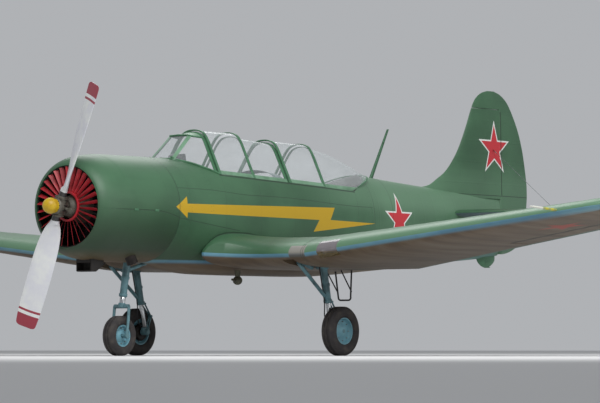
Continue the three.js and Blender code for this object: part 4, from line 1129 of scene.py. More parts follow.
def build_tub():
    """Cockpit walls, floor and bulkheads, with the decks before and behind them."""
    stations = spread((TUB["front"], TUB["rear"], 50))
    rings = [hull_ring(x, TUB["inset"], 72, FLOOR) for x in stations]
    tub = Shape().grid(rings)
    for ring in (rings[0], rings[-1]):
        tub.grid([ring, [(p[0], 0.0, p[2]) for p in ring]])
    for k in (0, -1):
        outer = [hull_ring(x)[k] for x in stations]
        tub.grid([[ring[k] for ring in rings], [(x, y * 0.995, z - 0.004) for x, y, z in outer]])
    fit(tub, "cockpit_tub", "grey", "skin_green")
    decks = Shape()
    crown = 0.012
    for x0, x1 in ((OPENING[0][0] + 0.002, TUB["front"]), (TUB["rear"], OPENING[-1][0] - 0.002)):
        rows = []
        for x in spread((x0, x1, 24)):
            half, edge = abs(hull_ring(x)[0][1]), edge_height(x) - 0.002
            rows.append([(x, half * u, edge + crown * (1 - u * u)) for u in np.linspace(-1, 1, 17)])
        decks.grid(rows)
    fit(decks, "canopy_decks", "deck", "skin_green", wall=0.003)
    coaming = Shape().prism([(2.02, 0.50), (2.02, 0.575), (2.10, 0.59), (2.12, 0.50)], -0.085, 0.085)
    fit(coaming, "coaming", "black", "panel_black", bevel=0.01)


# Cowl, shutters and engine

def build_cowl():
    rows = [[i, x, r] for i, (x, r) in enumerate(COWL)]
    outer = [tuple(float(v) for v in spline(rows, t)) for t in np.linspace(0, len(COWL) - 1, 60)]
    for half, low, high in (("upper", COWL_SPLIT + HAIR, 2.0), ("lower", -2.0, COWL_SPLIT - HAIR)):
        skin = Shape().turned(outer + COWL_INNER, sides=160).make(f"cowl_{half}_skin", "cowl")
        carve(skin, [Shape().block((0, -2, low), (2, 2, high)).make("keep")], "INTERSECT")
        mount(skin, f"cowl_{half}")


def build_shutters():
    """Slanted vanes between a hoop round the crankcase nose and a rim inside the cowl."""
    front, rear, inner, outer = SHUTTER.values()
    middle, opening = (front + rear) / 2, sizes().vane_angle
    vane = Shape()
    for sign in (-1, 1):
        rows = []
        for r in np.linspace(inner, outer, 9):
            half = sign * mix(0.013, 0.026, (r - inner) / (outer - inner))
            rows.append([(middle - half * w * math.sin(opening), half * w * math.cos(opening), r)
                         for w in np.linspace(0, 1, 4)])
        vane.grid(rows)
    vanes = ring_of(vane, "shutter_vanes", "shutter", sizes().vanes)
    modify(vanes, "SOLIDIFY", thickness=0.0016, offset=0)
    mount(shade(freeze(vanes)), "shutter_ring")
    hoop = [(front - 0.003, 0.128), (front - 0.003, 0.150), (rear, 0.150), (rear, 0.128)]
    fit(Shape().turned(hoop, sides=96), "shutter_hoop", "shutter", "shutter_red", bevel=0.003)
    rim = [(middle, 0.392), (middle, 0.4046), (rear, 0.4046), (rear, 0.392)]
    fit(Shape().turned(rim, sides=96), "shutter_rim", "dark", "shutter_red")


def build_engine():
    nose = [(0.357, 0.0), (0.357, 0.066), (0.405, 0.105), (0.48, 0.13), (0.60, 0.16), (0.60, 0.0)]
    fit(Shape().turned(nose, sides=48, closed=False), "crankcase_nose", "crank", "engine_metal")
    case = [(0.60 + HAIR, 0.0), (0.60 + HAIR, 0.16), (0.66, 0.19), (0.90, 0.2), (1.0, 0.24), (1.04, 0.3),
            (1.30, 0.3), (1.32, 0.24), (1.48, 0.24), (1.48, 0.0)]
    fit(Shape().turned(case, sides=48, closed=False), "crankcase", "engine", "engine_metal", "engine_block")
    jug = Shape().rod((0.79, 0, 0.17), (0.79, 0, 0.46), 0.062)
    fins, fin_pitch, fin_thick = 12, 0.019, 0.005
    for k in range(fins):
        z = 0.22 + k * fin_pitch
        jug.rod((0.79, 0, z), (0.79, 0, z + fin_thick), 0.088)
    jug.block((0.71, -0.05, 0.455), (0.87, 0.05, 0.492))
    for y in (-0.035, 0.035):
        jug.rod((0.60, y * 0.6, 0.15), (0.735, y, 0.462), 0.009, 8)
    mount(ring_of(jug, "cylinders", "engine", sizes().cylinders))
    baffle = Shape().turned([(1.10, 0.05), (1.10, 0.522), (1.104, 0.522), (1.104, 0.05)])
    fit(baffle, "baffle", "dark", "engine_metal")


# Propeller

def blade_ring(place, r):
    """A blade's section at a radius: round at its foot, flat-faced and thin-edged further out."""
    chord, thick, pitch = spline(BLADE, r)
    pitch = math.radians(pitch)
    ring = []
    for t in turns(40):
        along, across = chord / 2 * math.cos(t), thick / 2 * math.sin(t)
        if r > 0.2:
            across *= 1 - 0.4 * math.cos(t)
            across *= 1.0 if across > 0 else 0.55
        ring.append(place @ Vector((along * math.sin(pitch) + across * math.cos(pitch),
                                    along * math.cos(pitch) - across * math.sin(pitch), r)))
    return ring


def build_propeller():
    hub = station("propeller_spin")
    foot, tip = BLADE[0][0], BLADE[-1][0]
    for name, turn in (("blade_a", BLADE_LEAN), ("blade_b", BLADE_LEAN + math.pi)):
        place = Matrix.Translation(hub) @ Matrix.Rotation(turn, 4, "X")
        blade = Shape().solid([blade_ring(place, r) for r in spread((foot, tip, 60), (1.238, tip, 12))])
        fit(blade, name + "_wood", "blade", "blade_silver", name, "propeller")
    metal = Shape().turned([(-0.08, 0.0), (-0.08, 0.066), (-0.066, 0.083), (-0.02, 0.086), (-0.015, 0.078),
                            (0.04, 0.078), (0.05, 0.07), (0.067, 0.06), (0.0862, 0.06), (0.0862, 0.0)],
                           hub, sides=40, closed=False)
    spin = Vector((0, -math.sin(BLADE_LEAN), math.cos(BLADE_LEAN)))
    across = Vector((0, math.cos(BLADE_LEAN), math.sin(BLADE_LEAN)))
    aft = Vector((1, 0, 0))
    for s in (-1, 1):
        for near, far, radius in ((0.03, 0.082, (0.068, 0.064)), (0.082, 0.094, 0.070),
                                  (0.094, 0.1045, (0.052, 0.048))):
            metal.rod(hub + spin * s * near, hub + spin * s * far, radius, 28)
        metal.rod(hub + across * s * 0.05, hub + across * s * 0.128 + aft * 0.018, (0.016, 0.014), 12)
        end = hub + across * s * 0.14 + aft * 0.018
        metal.rod(end - aft * 0.022, end + aft * 0.022, 0.032, 24)
        metal.rod(end - aft * 0.026, end - aft * 0.02, 0.014, 6)
    fit(metal, "hub_metal", "hub", "bare_steel", "propeller_hub", "propeller", bevel=0.002)
    bolt = Shape().rod(hub + Vector((-0.09, 0.064, 0)), hub + Vector((-0.07, 0.064, 0)), 0.008, 6)
    bolt.rod(hub + Vector((-0.03, 0.082, 0)), hub + Vector((0.02, 0.082, 0)), 0.007, 8)
    mount(ring_of(bolt, "hub_bolts", "dark", 10, hub), body="propeller")
    front, base, wide, rear = 0.054, 0.144, 0.080, 0.1897
    cap = [(front, 0.0)] + [(base - (base - front) * math.cos(a), wide * math.sin(a))
                            for a in np.linspace(0.15, math.pi / 2, 14)]
    cap += [(base + 0.004, wide - 0.001), (base + 0.005, 0.070), (rear, 0.070), (rear, 0.0)]
    dome = Shape().turned(cap, sides=48, closed=False)
    fit(dome, "cap_dome", "cap", "cap_yellow", "spinner_cap", "propeller")


# Canopy

def bar(shape, curve, lean, width, thick, paint=0):
    """A flat strip along a curve: width along lean, thickness inwards."""
    along = Vector(lean).normalized()
    rings = []
    for i, p in enumerate(curve):
        run = (curve[min(i + 1, len(curve) - 1)] - curve[max(i - 1, 0)]).normalized()
        inward = along.cross(run).normalized()
        low, high = p - along * width / 2, p + along * width / 2
        rings.append([low, high, high - inward * thick, low - inward * thick])
    shape.solid(rings, paint)


def rail_rows(arches, side, rise):
    """Rows [arch, x, y, z] of the points on one side of each arch at a height above its foot."""
    rows = []
    for i, arch in enumerate(arches):
        curve = arch_curve(arch)[:12]
        heights = [p.z - curve[0].z for p in curve]
        x, y, z = (float(np.interp(rise, heights, [p[axis] for p in curve])) for axis in (0, 1, 2))
        rows.append([i, x, -side * y, z])
    return rows


def bay(name, arches, body="airframe", width=0.03, deep=0.009, lift=0.0, lap=0.0, node=None):
    """Frame bars on the end arches and the sills, and a curved pane over them; the last bar may lap aft."""
    up, slope = Vector((0, 0, lift)), SILL["slope"]
    rail_height, rail_thick, pane_inset = 0.042, 0.012, 0.007
    frames = Shape()
    for arch, low, high in ((arches[0], 0.0, width), (arches[-1], -width, lap)):
        shift = (low + high) / 2
        curve = [p + Vector((shift, 0, slope * shift)) + up for p in arch_curve(arch)]
        bar(frames, curve, (1, 0, slope), high - low, deep)
    for side in (-1, 1):
        low, high = rail_rows(arches, side, 0.0), rail_rows(arches, side, rail_height)
        inward = Vector((0, -side * rail_thick, 0))
        rings = []
        for t in np.linspace(0, len(arches) - 1, 16):
            p, q = Vector(spline(low, t)) + up, Vector(spline(high, t))
            rings.append([p, q, q + inward, p + inward])
        # Sill rails in the paler rail green, a painted highlight.
        frames.solid(rings, paint=1)
    node = node or name
    fit(frames, name + "_bars", "frame rail", "frame_green", node + "_frame", body, bevel=0.0015)
    curves = [[[i, *(p + up)] for i, p in enumerate(points)]
              for points in zip(*(arch_curve(arch, pane_inset) for arch in arches))]
    steps = np.linspace(0, len(arches) - 1, 8 * len(arches) - 7)
    pane = Shape().grid([[spline(curve, t) for curve in curves] for t in steps])
    fit(pane, name + "_pane", "glass", "glazing", node + "_glass", body, wall=0.004)


def between(a, b, count):
    """Points along a straight line."""
    return [a.lerp(b, t) for t in np.linspace(0, 1, count)]


def build_screen():
    """The windscreen: a flat front pane, two side panes and a roof up to the first arch."""
    base = [Vector((SCREEN["base"], s * SCREEN["base_half"], SCREEN["base_z"] - 0.012)) for s in (-1, 1)]
    top = [Vector((SCREEN["top"], s * SCREEN["top_half"], SCREEN["top_z"])) for s in (-1, 1)]
    arch = arch_curve(ARCHES["screen"])
    foot_x, foot_half = ARCHES["screen"][:2]
    frames, panes, roof = Shape(), Shape(), Shape()
    bar(frames, [p + Vector((-0.004, 0, 0)) for p in arch], (1, 0, SILL["slope"]),
        SCREEN["arch_width"], SCREEN["arch_thick"])
    for k, side in enumerate((-1, 1)):
        aft = Vector((foot_x, side * foot_half, SILL["z"])) - base[k]
        post = [p + aft.normalized() * 0.018 for p in between(base[k], top[k], 3)]
        # The windscreen posts take the paler rail green, a painted highlight.
        bar(frames, post, aft, SCREEN["post_width"], -side * SCREEN["post_thick"], paint=1)
    frames.tube([top[0], top[0].lerp(top[1], 0.5) + Vector((0, 0, 0.006)), top[1]], 0.012)
    frames.tube([base[0], base[0].lerp(base[1], 0.5) + Vector((-0.012, 0, 0.004)), base[1]], 0.012)
    corners = (12, 36)
    for k, side in enumerate((-1, 1)):
        frames.tube([top[k], arch[corners[k]] + Vector((-0.01, 0, 0))], 0.010)
        rail = []
        for t in np.linspace(0, 1, 10):
            x = mix(SCREEN["base"] + 0.001, foot_x, t)
            z = edge_height(x)
            y = mix(SCREEN["base_half"], hull_side(x, z) * 0.995, smooth(0.0, 0.35, t))
            rail.append(Vector((x, side * y, z + 0.008)))
        frames.tube(rail, 0.011)
        half = arch[:corners[0] + 1] if k == 0 else list(reversed(arch[corners[1]:]))
        edge = between(base[k], top[k], len(half))
        panes.grid([[p.lerp(q, t) for p, q in zip(edge, half)] for t in np.linspace(0, 1, 8)])
    panes.grid([between(*base, 3), between(*top, 3)])
    roof_back = arch[corners[0]:corners[1] + 1]
    roof_front = between(*top, len(roof_back))
    roof.grid([[p.lerp(q, t) for p, q in zip(roof_front, roof_back)] for t in np.linspace(0, 1, 6)])
    # The screen roof takes the paler rail green, a painted highlight.
    fit(roof, "screen_roof", "rail", "frame_green", wall=0.004)
    fit(frames, "screen_bars", "frame rail", "frame_green", "windscreen_frame")
    fit(panes, "screen_panes", "glass", "glazing", "windscreen_glass", wall=0.004)


def build_canopy():
    build_screen()
    bay("centre", ARCHES["centre"], lap=0.026, node="canopy_centre")
    bay("tail_fairing", ARCHES["tail"], node="canopy_tail")
    for hood in ("hood_front", "hood_rear"):
        bay(hood, ARCHES[hood], hood, width=0.034, deep=0.013, lift=0.003)


# Cockpit

def pad(shape, low, high, slant, steps=13):
    """A crowned pad between two corners; one with a slant stands up and leans back from its foot."""
    count = steps * steps
    first = len(shape.points)
    for face in (-1, 1):
        grid = []
        for u in np.linspace(-1, 1, steps):
            line = []
            for w in np.linspace(-1, 1, steps):
                swell = 0.5 * face * (0.25 + 0.75 * (1 - u**4) * (1 - w**4))
                if slant:
                    z = mix(low[2], high[2], (w + 1) / 2)
                    line.append((mix(low[0], high[0], 0.5 - swell) + slant * (z - low[2]), u * high[1], z))
                else:
                    line.append((mix(low[0], high[0], (w + 1) / 2), u * high[1],
                                 mix(low[2], high[2], 0.5 + swell)))
            grid.append(line)
        shape.grid(grid)
    last = steps - 1
    rim = list(range(steps)) + [steps * i + last for i in range(1, steps)]
    rim += [steps * last + i for i in range(last - 1, -1, -1)] + [steps * i for i in range(last - 1, 0, -1)]
    for a, b in zip(rim, rim[1:] + rim[:1]):
        shape.face((first + a, first + b, first + count + b, first + count + a))


def seat(name, x):
    shell, pads, straps = Shape(), Shape(), Shape()
    shell.block((x - 0.22, -0.215, -0.24), (x + 0.22, 0.215, -0.225))
    for side in (-1, 1):
        shell.prism([(x - 0.22, -0.24), (x + 0.22, -0.24), (x + 0.26, -0.05), (x - 0.18, -0.13)],
                    side * 0.215, side * 0.205)
    shell.prism([(x + 0.21, -0.24), (x + 0.222, -0.24), (x + 0.322, 0.33), (x + 0.31, 0.33)], -0.215, 0.215)
    for foot in (-0.16, 0.12):
        shell.block((x + foot, -0.15, FLOOR), (x + foot + 0.03, 0.15, -0.24))
    fit(shell, name + "_shell", "grey", "seat_brown", name, bevel=0.004)
    pad(pads, (x - 0.205, -0.19, -0.222), (x + 0.19, 0.19, -0.165), 0.0)
    pad(pads, (x + 0.15, -0.19, -0.15), (x + 0.205, 0.19, 0.30), 0.175)
    cushion = pads.make(name + "_cushions", "canvas", subdivide=1, angle=70)
    mount(cushion)
    for side in (-1, 1):
        path = [(x + 0.30, side * 0.07, 0.32), (x + 0.22, side * 0.08, 0.10), (x + 0.14, side * 0.09, -0.10),
                (x + 0.02, side * 0.11, -0.158)]
        bar(straps, smooth_path(path, 16), (0, 1, 0), 0.045, 0.003)
    fit(straps, name + "_straps", "canvas", "seat_brown")


def panel(name, x, low, high):
    """A board under a shelf, with three rows of dials."""
    half = min(hull_side(x, low), hull_side(x, high)) - TUB["inset"] - 0.012
    board = Shape().block((x, -half, low), (x + 0.012, half, high))
    board.block((x - 0.03, -half * 0.98, high - 0.02), (x + 0.06, half * 0.98, high))
    fit(board, name + "_board", "black", "panel_black", name, bevel=0.003)
    faces, rims, marks = Shape(), Shape(), Shape()
    rows = ((0.10, 0.043, (-0.26, -0.155, -0.05, 0.055, 0.16, 0.265)),
            (0.215, 0.038, (-0.22, -0.12, 0.0, 0.12, 0.22)),
            (0.32, 0.028, (-0.15, -0.05, 0.05, 0.15)))
    for y, z, r in [(y, high - drop, r) for drop, r, places in rows for y in places]:
        faces.rod((x + 0.010, y, z), (x + 0.016, y, z), r, 28)
        rims.turned([(0, r), (0, r + 0.006), (0.010, r + 0.006), (0.010, r)], (x + 0.011, y, z), sides=28)
        for a in turns(8):
            p = Vector((x + 0.0155, y + 0.8 * r * math.sin(a), z + 0.8 * r * math.cos(a)))
            marks.rod(p, p + Vector((0.0012, 0, 0)), 0.0022, 6)
        centre = Vector((x + 0.0168, y, z))
        marks.tube([centre, centre + Vector((0, math.sin(40 * y), math.cos(40 * y))) * r * 0.7], 0.0012, 6)
    fit(faces, name + "_faces", "dial", "panel_black")
    fit(rims, name + "_rims", "black", "panel_black")
    fit(marks, name + "_marks", "mark", "panel_black")


def glare_shield(name, x, half, low, rise, length=0.16):
    """A thin hood bowed over an instrument panel."""
    rows = []
    for u in np.linspace(0, 1, 5):
        rows.append([(x + length * u, half * math.cos(a), low + rise * (1 - 0.12 * u) * math.sin(a) ** 0.7)
                     for a in (math.pi * i / 24 for i in range(25))])
    fit(Shape().grid(rows), name, "grey", "panel_black", wall=0.003)


def stick(name, x):
    shape = Shape()
    boot = [(FLOOR, 0.0), (FLOOR, 0.034), (FLOOR + 0.02, 0.033), (FLOOR + 0.05, 0.016), (FLOOR + 0.06, 0.0)]
    shape.turned(boot, (x, 0, 0), (0, 0, 1), 24, closed=False)
    shape.tube([(x, 0, FLOOR), (x, 0, -0.05)], 0.0115, 12)
    grip = [(-0.055, 0.0), (-0.055, 0.015), (-0.03, 0.0185), (-0.01, 0.016), (0.012, 0.018), (0.018, 0.0)]
    shape.turned(grip, (x - 0.004, 0, 0), (0, 0, 1), 20, closed=False)
    fit(shape, name + "_grip", "black", "panel_black", name)


def build_cockpit():
    for name, x in (("seat_front", 2.72), ("seat_rear", 3.90)):
        seat(name, x)
    for name, x, low, high in (("panel_front", 2.14, -0.06, 0.335), ("panel_rear", 3.33, -0.06, 0.30)):
        panel(name, x, low, high)
    glare_shield("glare_shield_front", 2.12, 0.27, 0.33, 0.15)
    glare_shield("glare_shield_rear", 3.30, 0.30, 0.30, 0.17)
    for name, x in (("stick_front", 2.40), ("stick_rear", 3.58)):
        stick(name, x)


# Wings

def cone_between(a, b, ra, rb, beyond):
    """A cone along a hinge line, longer at each end."""
    along = (b - a).normalized()
    return Shape().rod(a - along * beyond, b + along * beyond, (ra, rb), 48)


def build_centre():
    outs = spread((0.0, 0.418, 3), (0.422, FAIRING["out"], 26), (FAIRING["out"], WING["root"], 8))
    outs = [-y for y in reversed(outs) if y > 0] + outs
    centre = Shape().solid([centre_ring(y) for y in outs]).make("centre_skin", "centre")
    wells = [Shape().block((2.30, y - 0.075, -0.8), (2.94, y + 0.075, -0.49)).make("well")
             for y in (-MAIN_LEG["y"], MAIN_LEG["y"])]
    mount(carve(centre, wells + flap_rooms()), "wing_centre")


def flap_line(x):
    """Height of the centre section's underside at a station."""
    point, half = wing_middle(0, (x - WING["le"]) / WING["chord"])
    return point.z - half - 0.0015


def flap_rooms():
    front, rear = FLAP["front"], FLAP["rear"]
    low, high = flap_line(front), flap_line(rear)
    outline = [(front - 0.03, low - 0.06), (rear + 0.008, high - 0.06), (rear + 0.008, high + 0.014),
               (front + 0.06, low + 0.026), (front, low + 0.04), (front - 0.03, low + 0.036)]
    rooms = []
    for side in (-1, 1):
        y0, y1 = sorted((side * (FLAP["inner"] - 0.006), side * (FLAP["outer"] + 0.006)))
        rooms.append(Shape().prism(outline, y0, y1).make("room"))
    return rooms


def build_flap():
    front, rear = FLAP["front"], FLAP["rear"]
    low, high = flap_line(front), flap_line(rear)
    hinge = station("flap_hinge")
    flap = Shape().rod((hinge.x, -FLAP["outer"], hinge.z), (hinge.x, FLAP["outer"], hinge.z), 0.009, 16)
    sheet = [(front - 0.008, low + 0.002), (rear, high + 0.002), (rear, high + 0.006),
             (front - 0.008, low + 0.012)]
    rib = [(front, low + 0.010), (rear - 0.02, high + 0.006), (front + 0.05, low + 0.02),
           (front, low + 0.018)]
    for side in (-1, 1):
        y0, y1 = sorted((side * FLAP["inner"], side * FLAP["outer"]))
        flap.prism(sheet, y0, y1)
        for y in np.linspace(y0 + 0.03, y1 - 0.03, 6):
            flap.prism(rib, y - 0.004, y + 0.004)
    fit(flap, "flap_skin", "centre", "flap_skin", "flap", "flap")


def aileron_block(side, margin):
    """A block aft of the aileron's hinge line, wider than it by a margin."""
    a, _ = wing_middle(side * AILERON["inner"], AILERON["hinge"])
    b, _ = wing_middle(side * AILERON["outer"], AILERON["hinge"])
    taper = (b.x - a.x) / (AILERON["outer"] - AILERON["inner"])
    y0, y1 = side * (AILERON["inner"] - margin), side * (AILERON["outer"] + margin)
    plan = [(a.x - taper * margin, y0), (b.x + taper * margin, y1), (6.0, y1), (6.0, y0)]
    return Shape().solid([[(x, y, z) for x, y in plan] for z in (-2, 2)]).make("aft")


def build_wing(side, name):
    tip, rib_ends = HALF_SPAN - 0.08, (1.7, 4.9)
    rings = []
    for y in spread((WING["root"] + HAIR, WING["tip"], 60), (WING["tip"], tip, 9),
                    (tip, HALF_SPAN - HAIR, 9)):
        sag = 0.0028 * math.sin(math.pi * y / RIB_PITCH) ** 2 if rib_ends[0] < y < rib_ends[1] else 0.0
        rings.append(wing_ring(side * y, sag))

    def whole(label):
        return Shape().solid(rings).make(label, "wing")

    def nose(margin, beyond):
        (a, ra), (b, rb) = (wing_middle(side * AILERON[end], AILERON["hinge"]) for end in ("inner", "outer"))
        return cone_between(a, b, ra + margin, rb + margin, beyond).make("nose")

    def lamp_room(margin=0.0):
        low, high = (2.0, -LAMP["outer"] - margin, -1), (LAMP["rear"], -LAMP["inner"] + margin, 1)
        return Shape().block(low, high).make("room")

    cuts = [aileron_block(side, AILERON["gap"]), nose(CLEAR, AILERON["gap"])]
    if side < 0:
        cuts.append(lamp_room(HAIR))
    mount(carve(whole(f"wing_skin_{name}"), cuts), f"wing_{name}")
    keep = carve(aileron_block(side, 0.0), [nose(0.0, 0.0)], "UNION")
    moving = carve(whole(f"aileron_skin_{name}"), [keep], "INTERSECT")
    mount(moving, f"aileron_{name}", f"aileron_{name}")
    if side < 0:
        cover = carve(whole("lamp_cover"), [lamp_room()], "INTERSECT")
        cover.data.materials.clear()
        cover.data.materials.append(finish("lamp"))
        mount(cover, "landing_light")
        bowl = [(0.0, 0.0), (-0.004, 0.02), (-0.022, 0.042), (-0.026, 0.042), (-0.006, 0.018), (0.002, 0.0)]
        bowls = Shape()
        for y, z in ((-1.715, -0.402), (-1.835, -0.388)):
            bowls.turned(bowl, (LAMP["rear"], y, z), sides=28, closed=False)
        fit(bowls, "lamp_bowls", "chrome", "lamp_glass")


# Tail

def rudder_ring(z):
    """Round nose about the hinge, then straight sides to the trailing edge."""
    _, te, half = spline(FIN, z)
    chord, edge = te - RUDDER_X, 0.003
    points = [(RUDDER_X - half * math.cos(t), half * math.sin(t), z)
              for t in np.linspace(-math.pi / 2, math.pi / 2, 13)]
    points += [(RUDDER_X + chord * u, mix(half, edge, u**1.15), z) for u in np.linspace(0.08, 1, 12)]
    points += [(RUDDER_X + chord * u, -mix(half, edge, u**1.15), z) for u in np.linspace(1, 0.08, 12)]
    return points


def fin_ring(z):
    """A streamlined fin from its leading edge to the rudder's hinge, thickest at 0.45 of its length."""
    le, _, half = spline(FIN, z)
    length, fat, thickest = RUDDER_X - le, half * 1.25, 0.45
    sides = []
    for u in np.linspace(0, 1, 26):
        f = u * u * (3 - 2 * u)
        if f < thickest:
            width = fat * math.sqrt(max(0.0, 1 - (1 - f / thickest) ** 2))
        else:
            width = mix(fat, half, smooth(thickest, 1.0, f))
        sides.append((le + length * f, width))
    return [(x, w, z) for x, w in sides] + [(x, -w, z) for x, w in reversed(sides[1:])]


def horn_ring(z):
    """The rudder's balance horn over the fin."""
    le, te, half = spline(FIN, z)
    return [(le + a, b, z) for a, b in streamline(te - le, 2.4 * half / (te - le), steps=24)]


def build_fin():
    fin = Shape().solid([fin_ring(z) for z in spread((0.31, HORN_Z - 0.006, 48))]).make("fin_skin", "fin")
    hollow = Shape().rod((RUDDER_X, 0, 0.0), (RUDDER_X, 0, 1.5), (0.056, 0.030), 32).make("hollow")
    mount(carve(fin, [hollow]), "fin")
    heights = spread((-0.318, -0.2, 16), (-0.2, HORN_Z, 50))
    rudder = Shape().solid([rudder_ring(z) for z in heights]).make("rudder_skin", "fin")
    horn = Shape().solid([horn_ring(z) for z in spread((HORN_Z, FIN_TOP, 30))]).make("horn")
    mount(carve(rudder, [horn], "UNION"), "rudder", "rudder")


def plane_ring(side, y):
    le, chord = spline(PLANE, abs(y))
    return [(le + a, side * abs(y), PLANE_Z + b) for a, b in streamline(chord, 0.085, steps=28)]


def build_tailplane():
    elevator = Shape().pin((ELEVATOR_X, 0, PLANE_Z), -0.2, 0.2, 0.018).make("elevator_skin", "tail")
    inner, outer = 0.135, 1.6
    for side, name in SIDES:
        spans = spread((0.02, 1.62, 30), (1.62, 1.7495, 16))

        def whole(label):
            return Shape().solid([plane_ring(side, y) for y in spans]).make(label, "tail")

        def aft_block(y0, y1):
            low, high = sorted((side * y0, side * y1))
            return Shape().block((ELEVATOR_X, low, -1), (9, high, 1)).make("block")

        def nose(ra, rb, beyond):
            a, b = (Vector((ELEVATOR_X, side * y, PLANE_Z)) for y in (inner, outer))
            return cone_between(a, b, ra, rb, beyond).make("nose")

        fixed = whole(f"tailplane_skin_{name}")
        carve(fixed, [aft_block(0.0, outer + CLEAR), nose(0.037, 0.030, CLEAR)])
        mount(fixed, f"tailplane_{name}")
        keep = carve(aft_block(inner, outer), [nose(0.032, 0.025, 0.0)], "UNION")
        carve(elevator, [carve(whole("moving"), [keep], "INTERSECT")], "UNION")
    mount(elevator, "elevator", "elevator")


def build_tail_fittings():
    for side, name in SIDES:
        a, b = Vector((7.24, side * 0.06, -0.33)), Vector((7.12, side * 0.82, 0.085))
        oval = [Vector((0.019 * math.cos(k), 0, 0.0085 * math.sin(k))) for k in turns(24)]
        strut = Shape().solid([[p + w for w in oval] for p in between(a, b, 12)])
        strut.rod(a, a.lerp(b, 0.05), 0.018, 12).rod(b.lerp(a, 0.04), b, 0.018, 12)
        fit(strut, f"strut_{name}", "gear", "gear_blue", f"tail_strut_{name}")
        low, high = Vector((7.18, side * 1.18, 0.15)), Vector((7.64, side * 0.03, 0.87))
        wire = Shape().tube([low, high], 0.0025)
        wire.rod(low, low.lerp(high, 0.06), 0.007, 10).rod(high.lerp(low, 0.05), high, 0.007, 10)
        fit(wire, f"wire_{name}", "chrome", "bare_steel", f"tail_wire_{name}")
    front, rear, top = 7.36, 7.70, -0.33
    rows = []
    for x in np.linspace(front, rear, 26):
        u = (x - front) / (rear - front)
        low = -0.37 - 0.108 * math.sin(math.pi * min(1, u * 0.9 + 0.05)) ** 0.7
        half = 0.032 * math.sin(math.pi * min(0.98, u * 0.96 + 0.02)) ** 0.5
        rows.append([(x, half * math.sin(a) * (1.0 if math.cos(a) < 0.6 else 0.9),
                      top + (low - top) * (0.5 - 0.5 * math.cos(a))) for a in turns(24)])
    bumper = Shape().solid(rows)
    bumper.block((7.522, -0.016, -0.4782), (7.598, 0.016, -0.47))
    fit(bumper, "bumper_shoe", "frame", "frame_green", "tail_bumper")


# Landing gear

MAIN_LEG = {"y": 1.25, "top_x": 2.87, "top_z": -0.50}
NOSE_LEG_TOP = Vector((1.30, 0, -0.47))


def wheel(name, body, radius, width, coat):
    """A tyre with two grooves, a dished disc and its bolts. Profiles are (share of half width, radius)."""
    axle = station(body + "_spin")
    kind, _, side = body.replace("wheel_", "").replace("_wheel", "").partition("_")
    nodes = ["_".join(filter(None, (kind, thing, side))) for thing in ("tyre", "rim")]
    half, bead = width / 2, radius * 0.54
    shoulder = [(-0.62, bead), (-0.88, radius * 0.60), (-0.98, radius * 0.70), (-1.0, radius * 0.80),
                (-0.94, radius * 0.89), (-0.80, radius * 0.95), (-0.62, radius * 0.985)]
    tread = []
    for k, u in enumerate((-0.5, -0.25, 0.0, 0.25, 0.5)):
        r = radius * (1 - 0.012 * u * u)
        if k % 2:
            tread += [(u - 0.085, r), (u - 0.07, r - 0.006), (u + 0.07, r - 0.006), (u + 0.085, r)]
        else:
            tread += [(u - 0.1, r), (u + 0.1, r)]
    profile = shoulder + tread + [(-u, r) for u, r in reversed(shoulder)]
    tyre = Shape().turned([(u * half, r) for u, r in profile], axle, (0, 1, 0), 96)
    fit(tyre, name + "_rubber", coat, "tyre_rubber", nodes[0], body, angle=50)
    dish = [(-0.62, bead - HAIR), (-0.72, bead + 0.002), (-0.70, bead - 0.010), (-0.45, bead - 0.016),
            (-0.30, bead * 0.80), (-0.26, bead * 0.62), (-0.40, bead * 0.46), (-0.52, bead * 0.36),
            (-0.56, bead * 0.22), (-0.56, 0.021)]
    dish += [(-u, r) for u, r in reversed(dish)]
    disc = Shape().turned([(u * half, r) for u, r in dish], axle, (0, 1, 0), 72)
    fit(disc, name + "_disc", "rim", "rim_blue", nodes[1], body)
    bolt = Shape()
    for side in (-1, 1):
        at = axle + Vector((bead * 0.72, side * half * 0.27, 0))
        bolt.pin(at, 0.0, side * 0.012, 0.006, 6)
    mount(ring_of(bolt, name + "_bolts", "steel", 8, axle, (0, 1, 0)), body=body)


def scissor(shape, neck, foot, reach):
    """Two folding links beside the piston."""
    knee = neck.lerp(foot, 0.5) + Vector(reach)
    for y in (-0.022, 0.022):
        w = Vector((0, y, 0))
        shape.tube([neck + w, knee + w * 0.5], 0.009)
        shape.tube([knee + w * 0.5, foot + w], 0.009)
    for p, half in ((knee, 0.026), (neck, 0.034), (foot, 0.034)):
        shape.pin(p, -half, half, 0.013, 12)


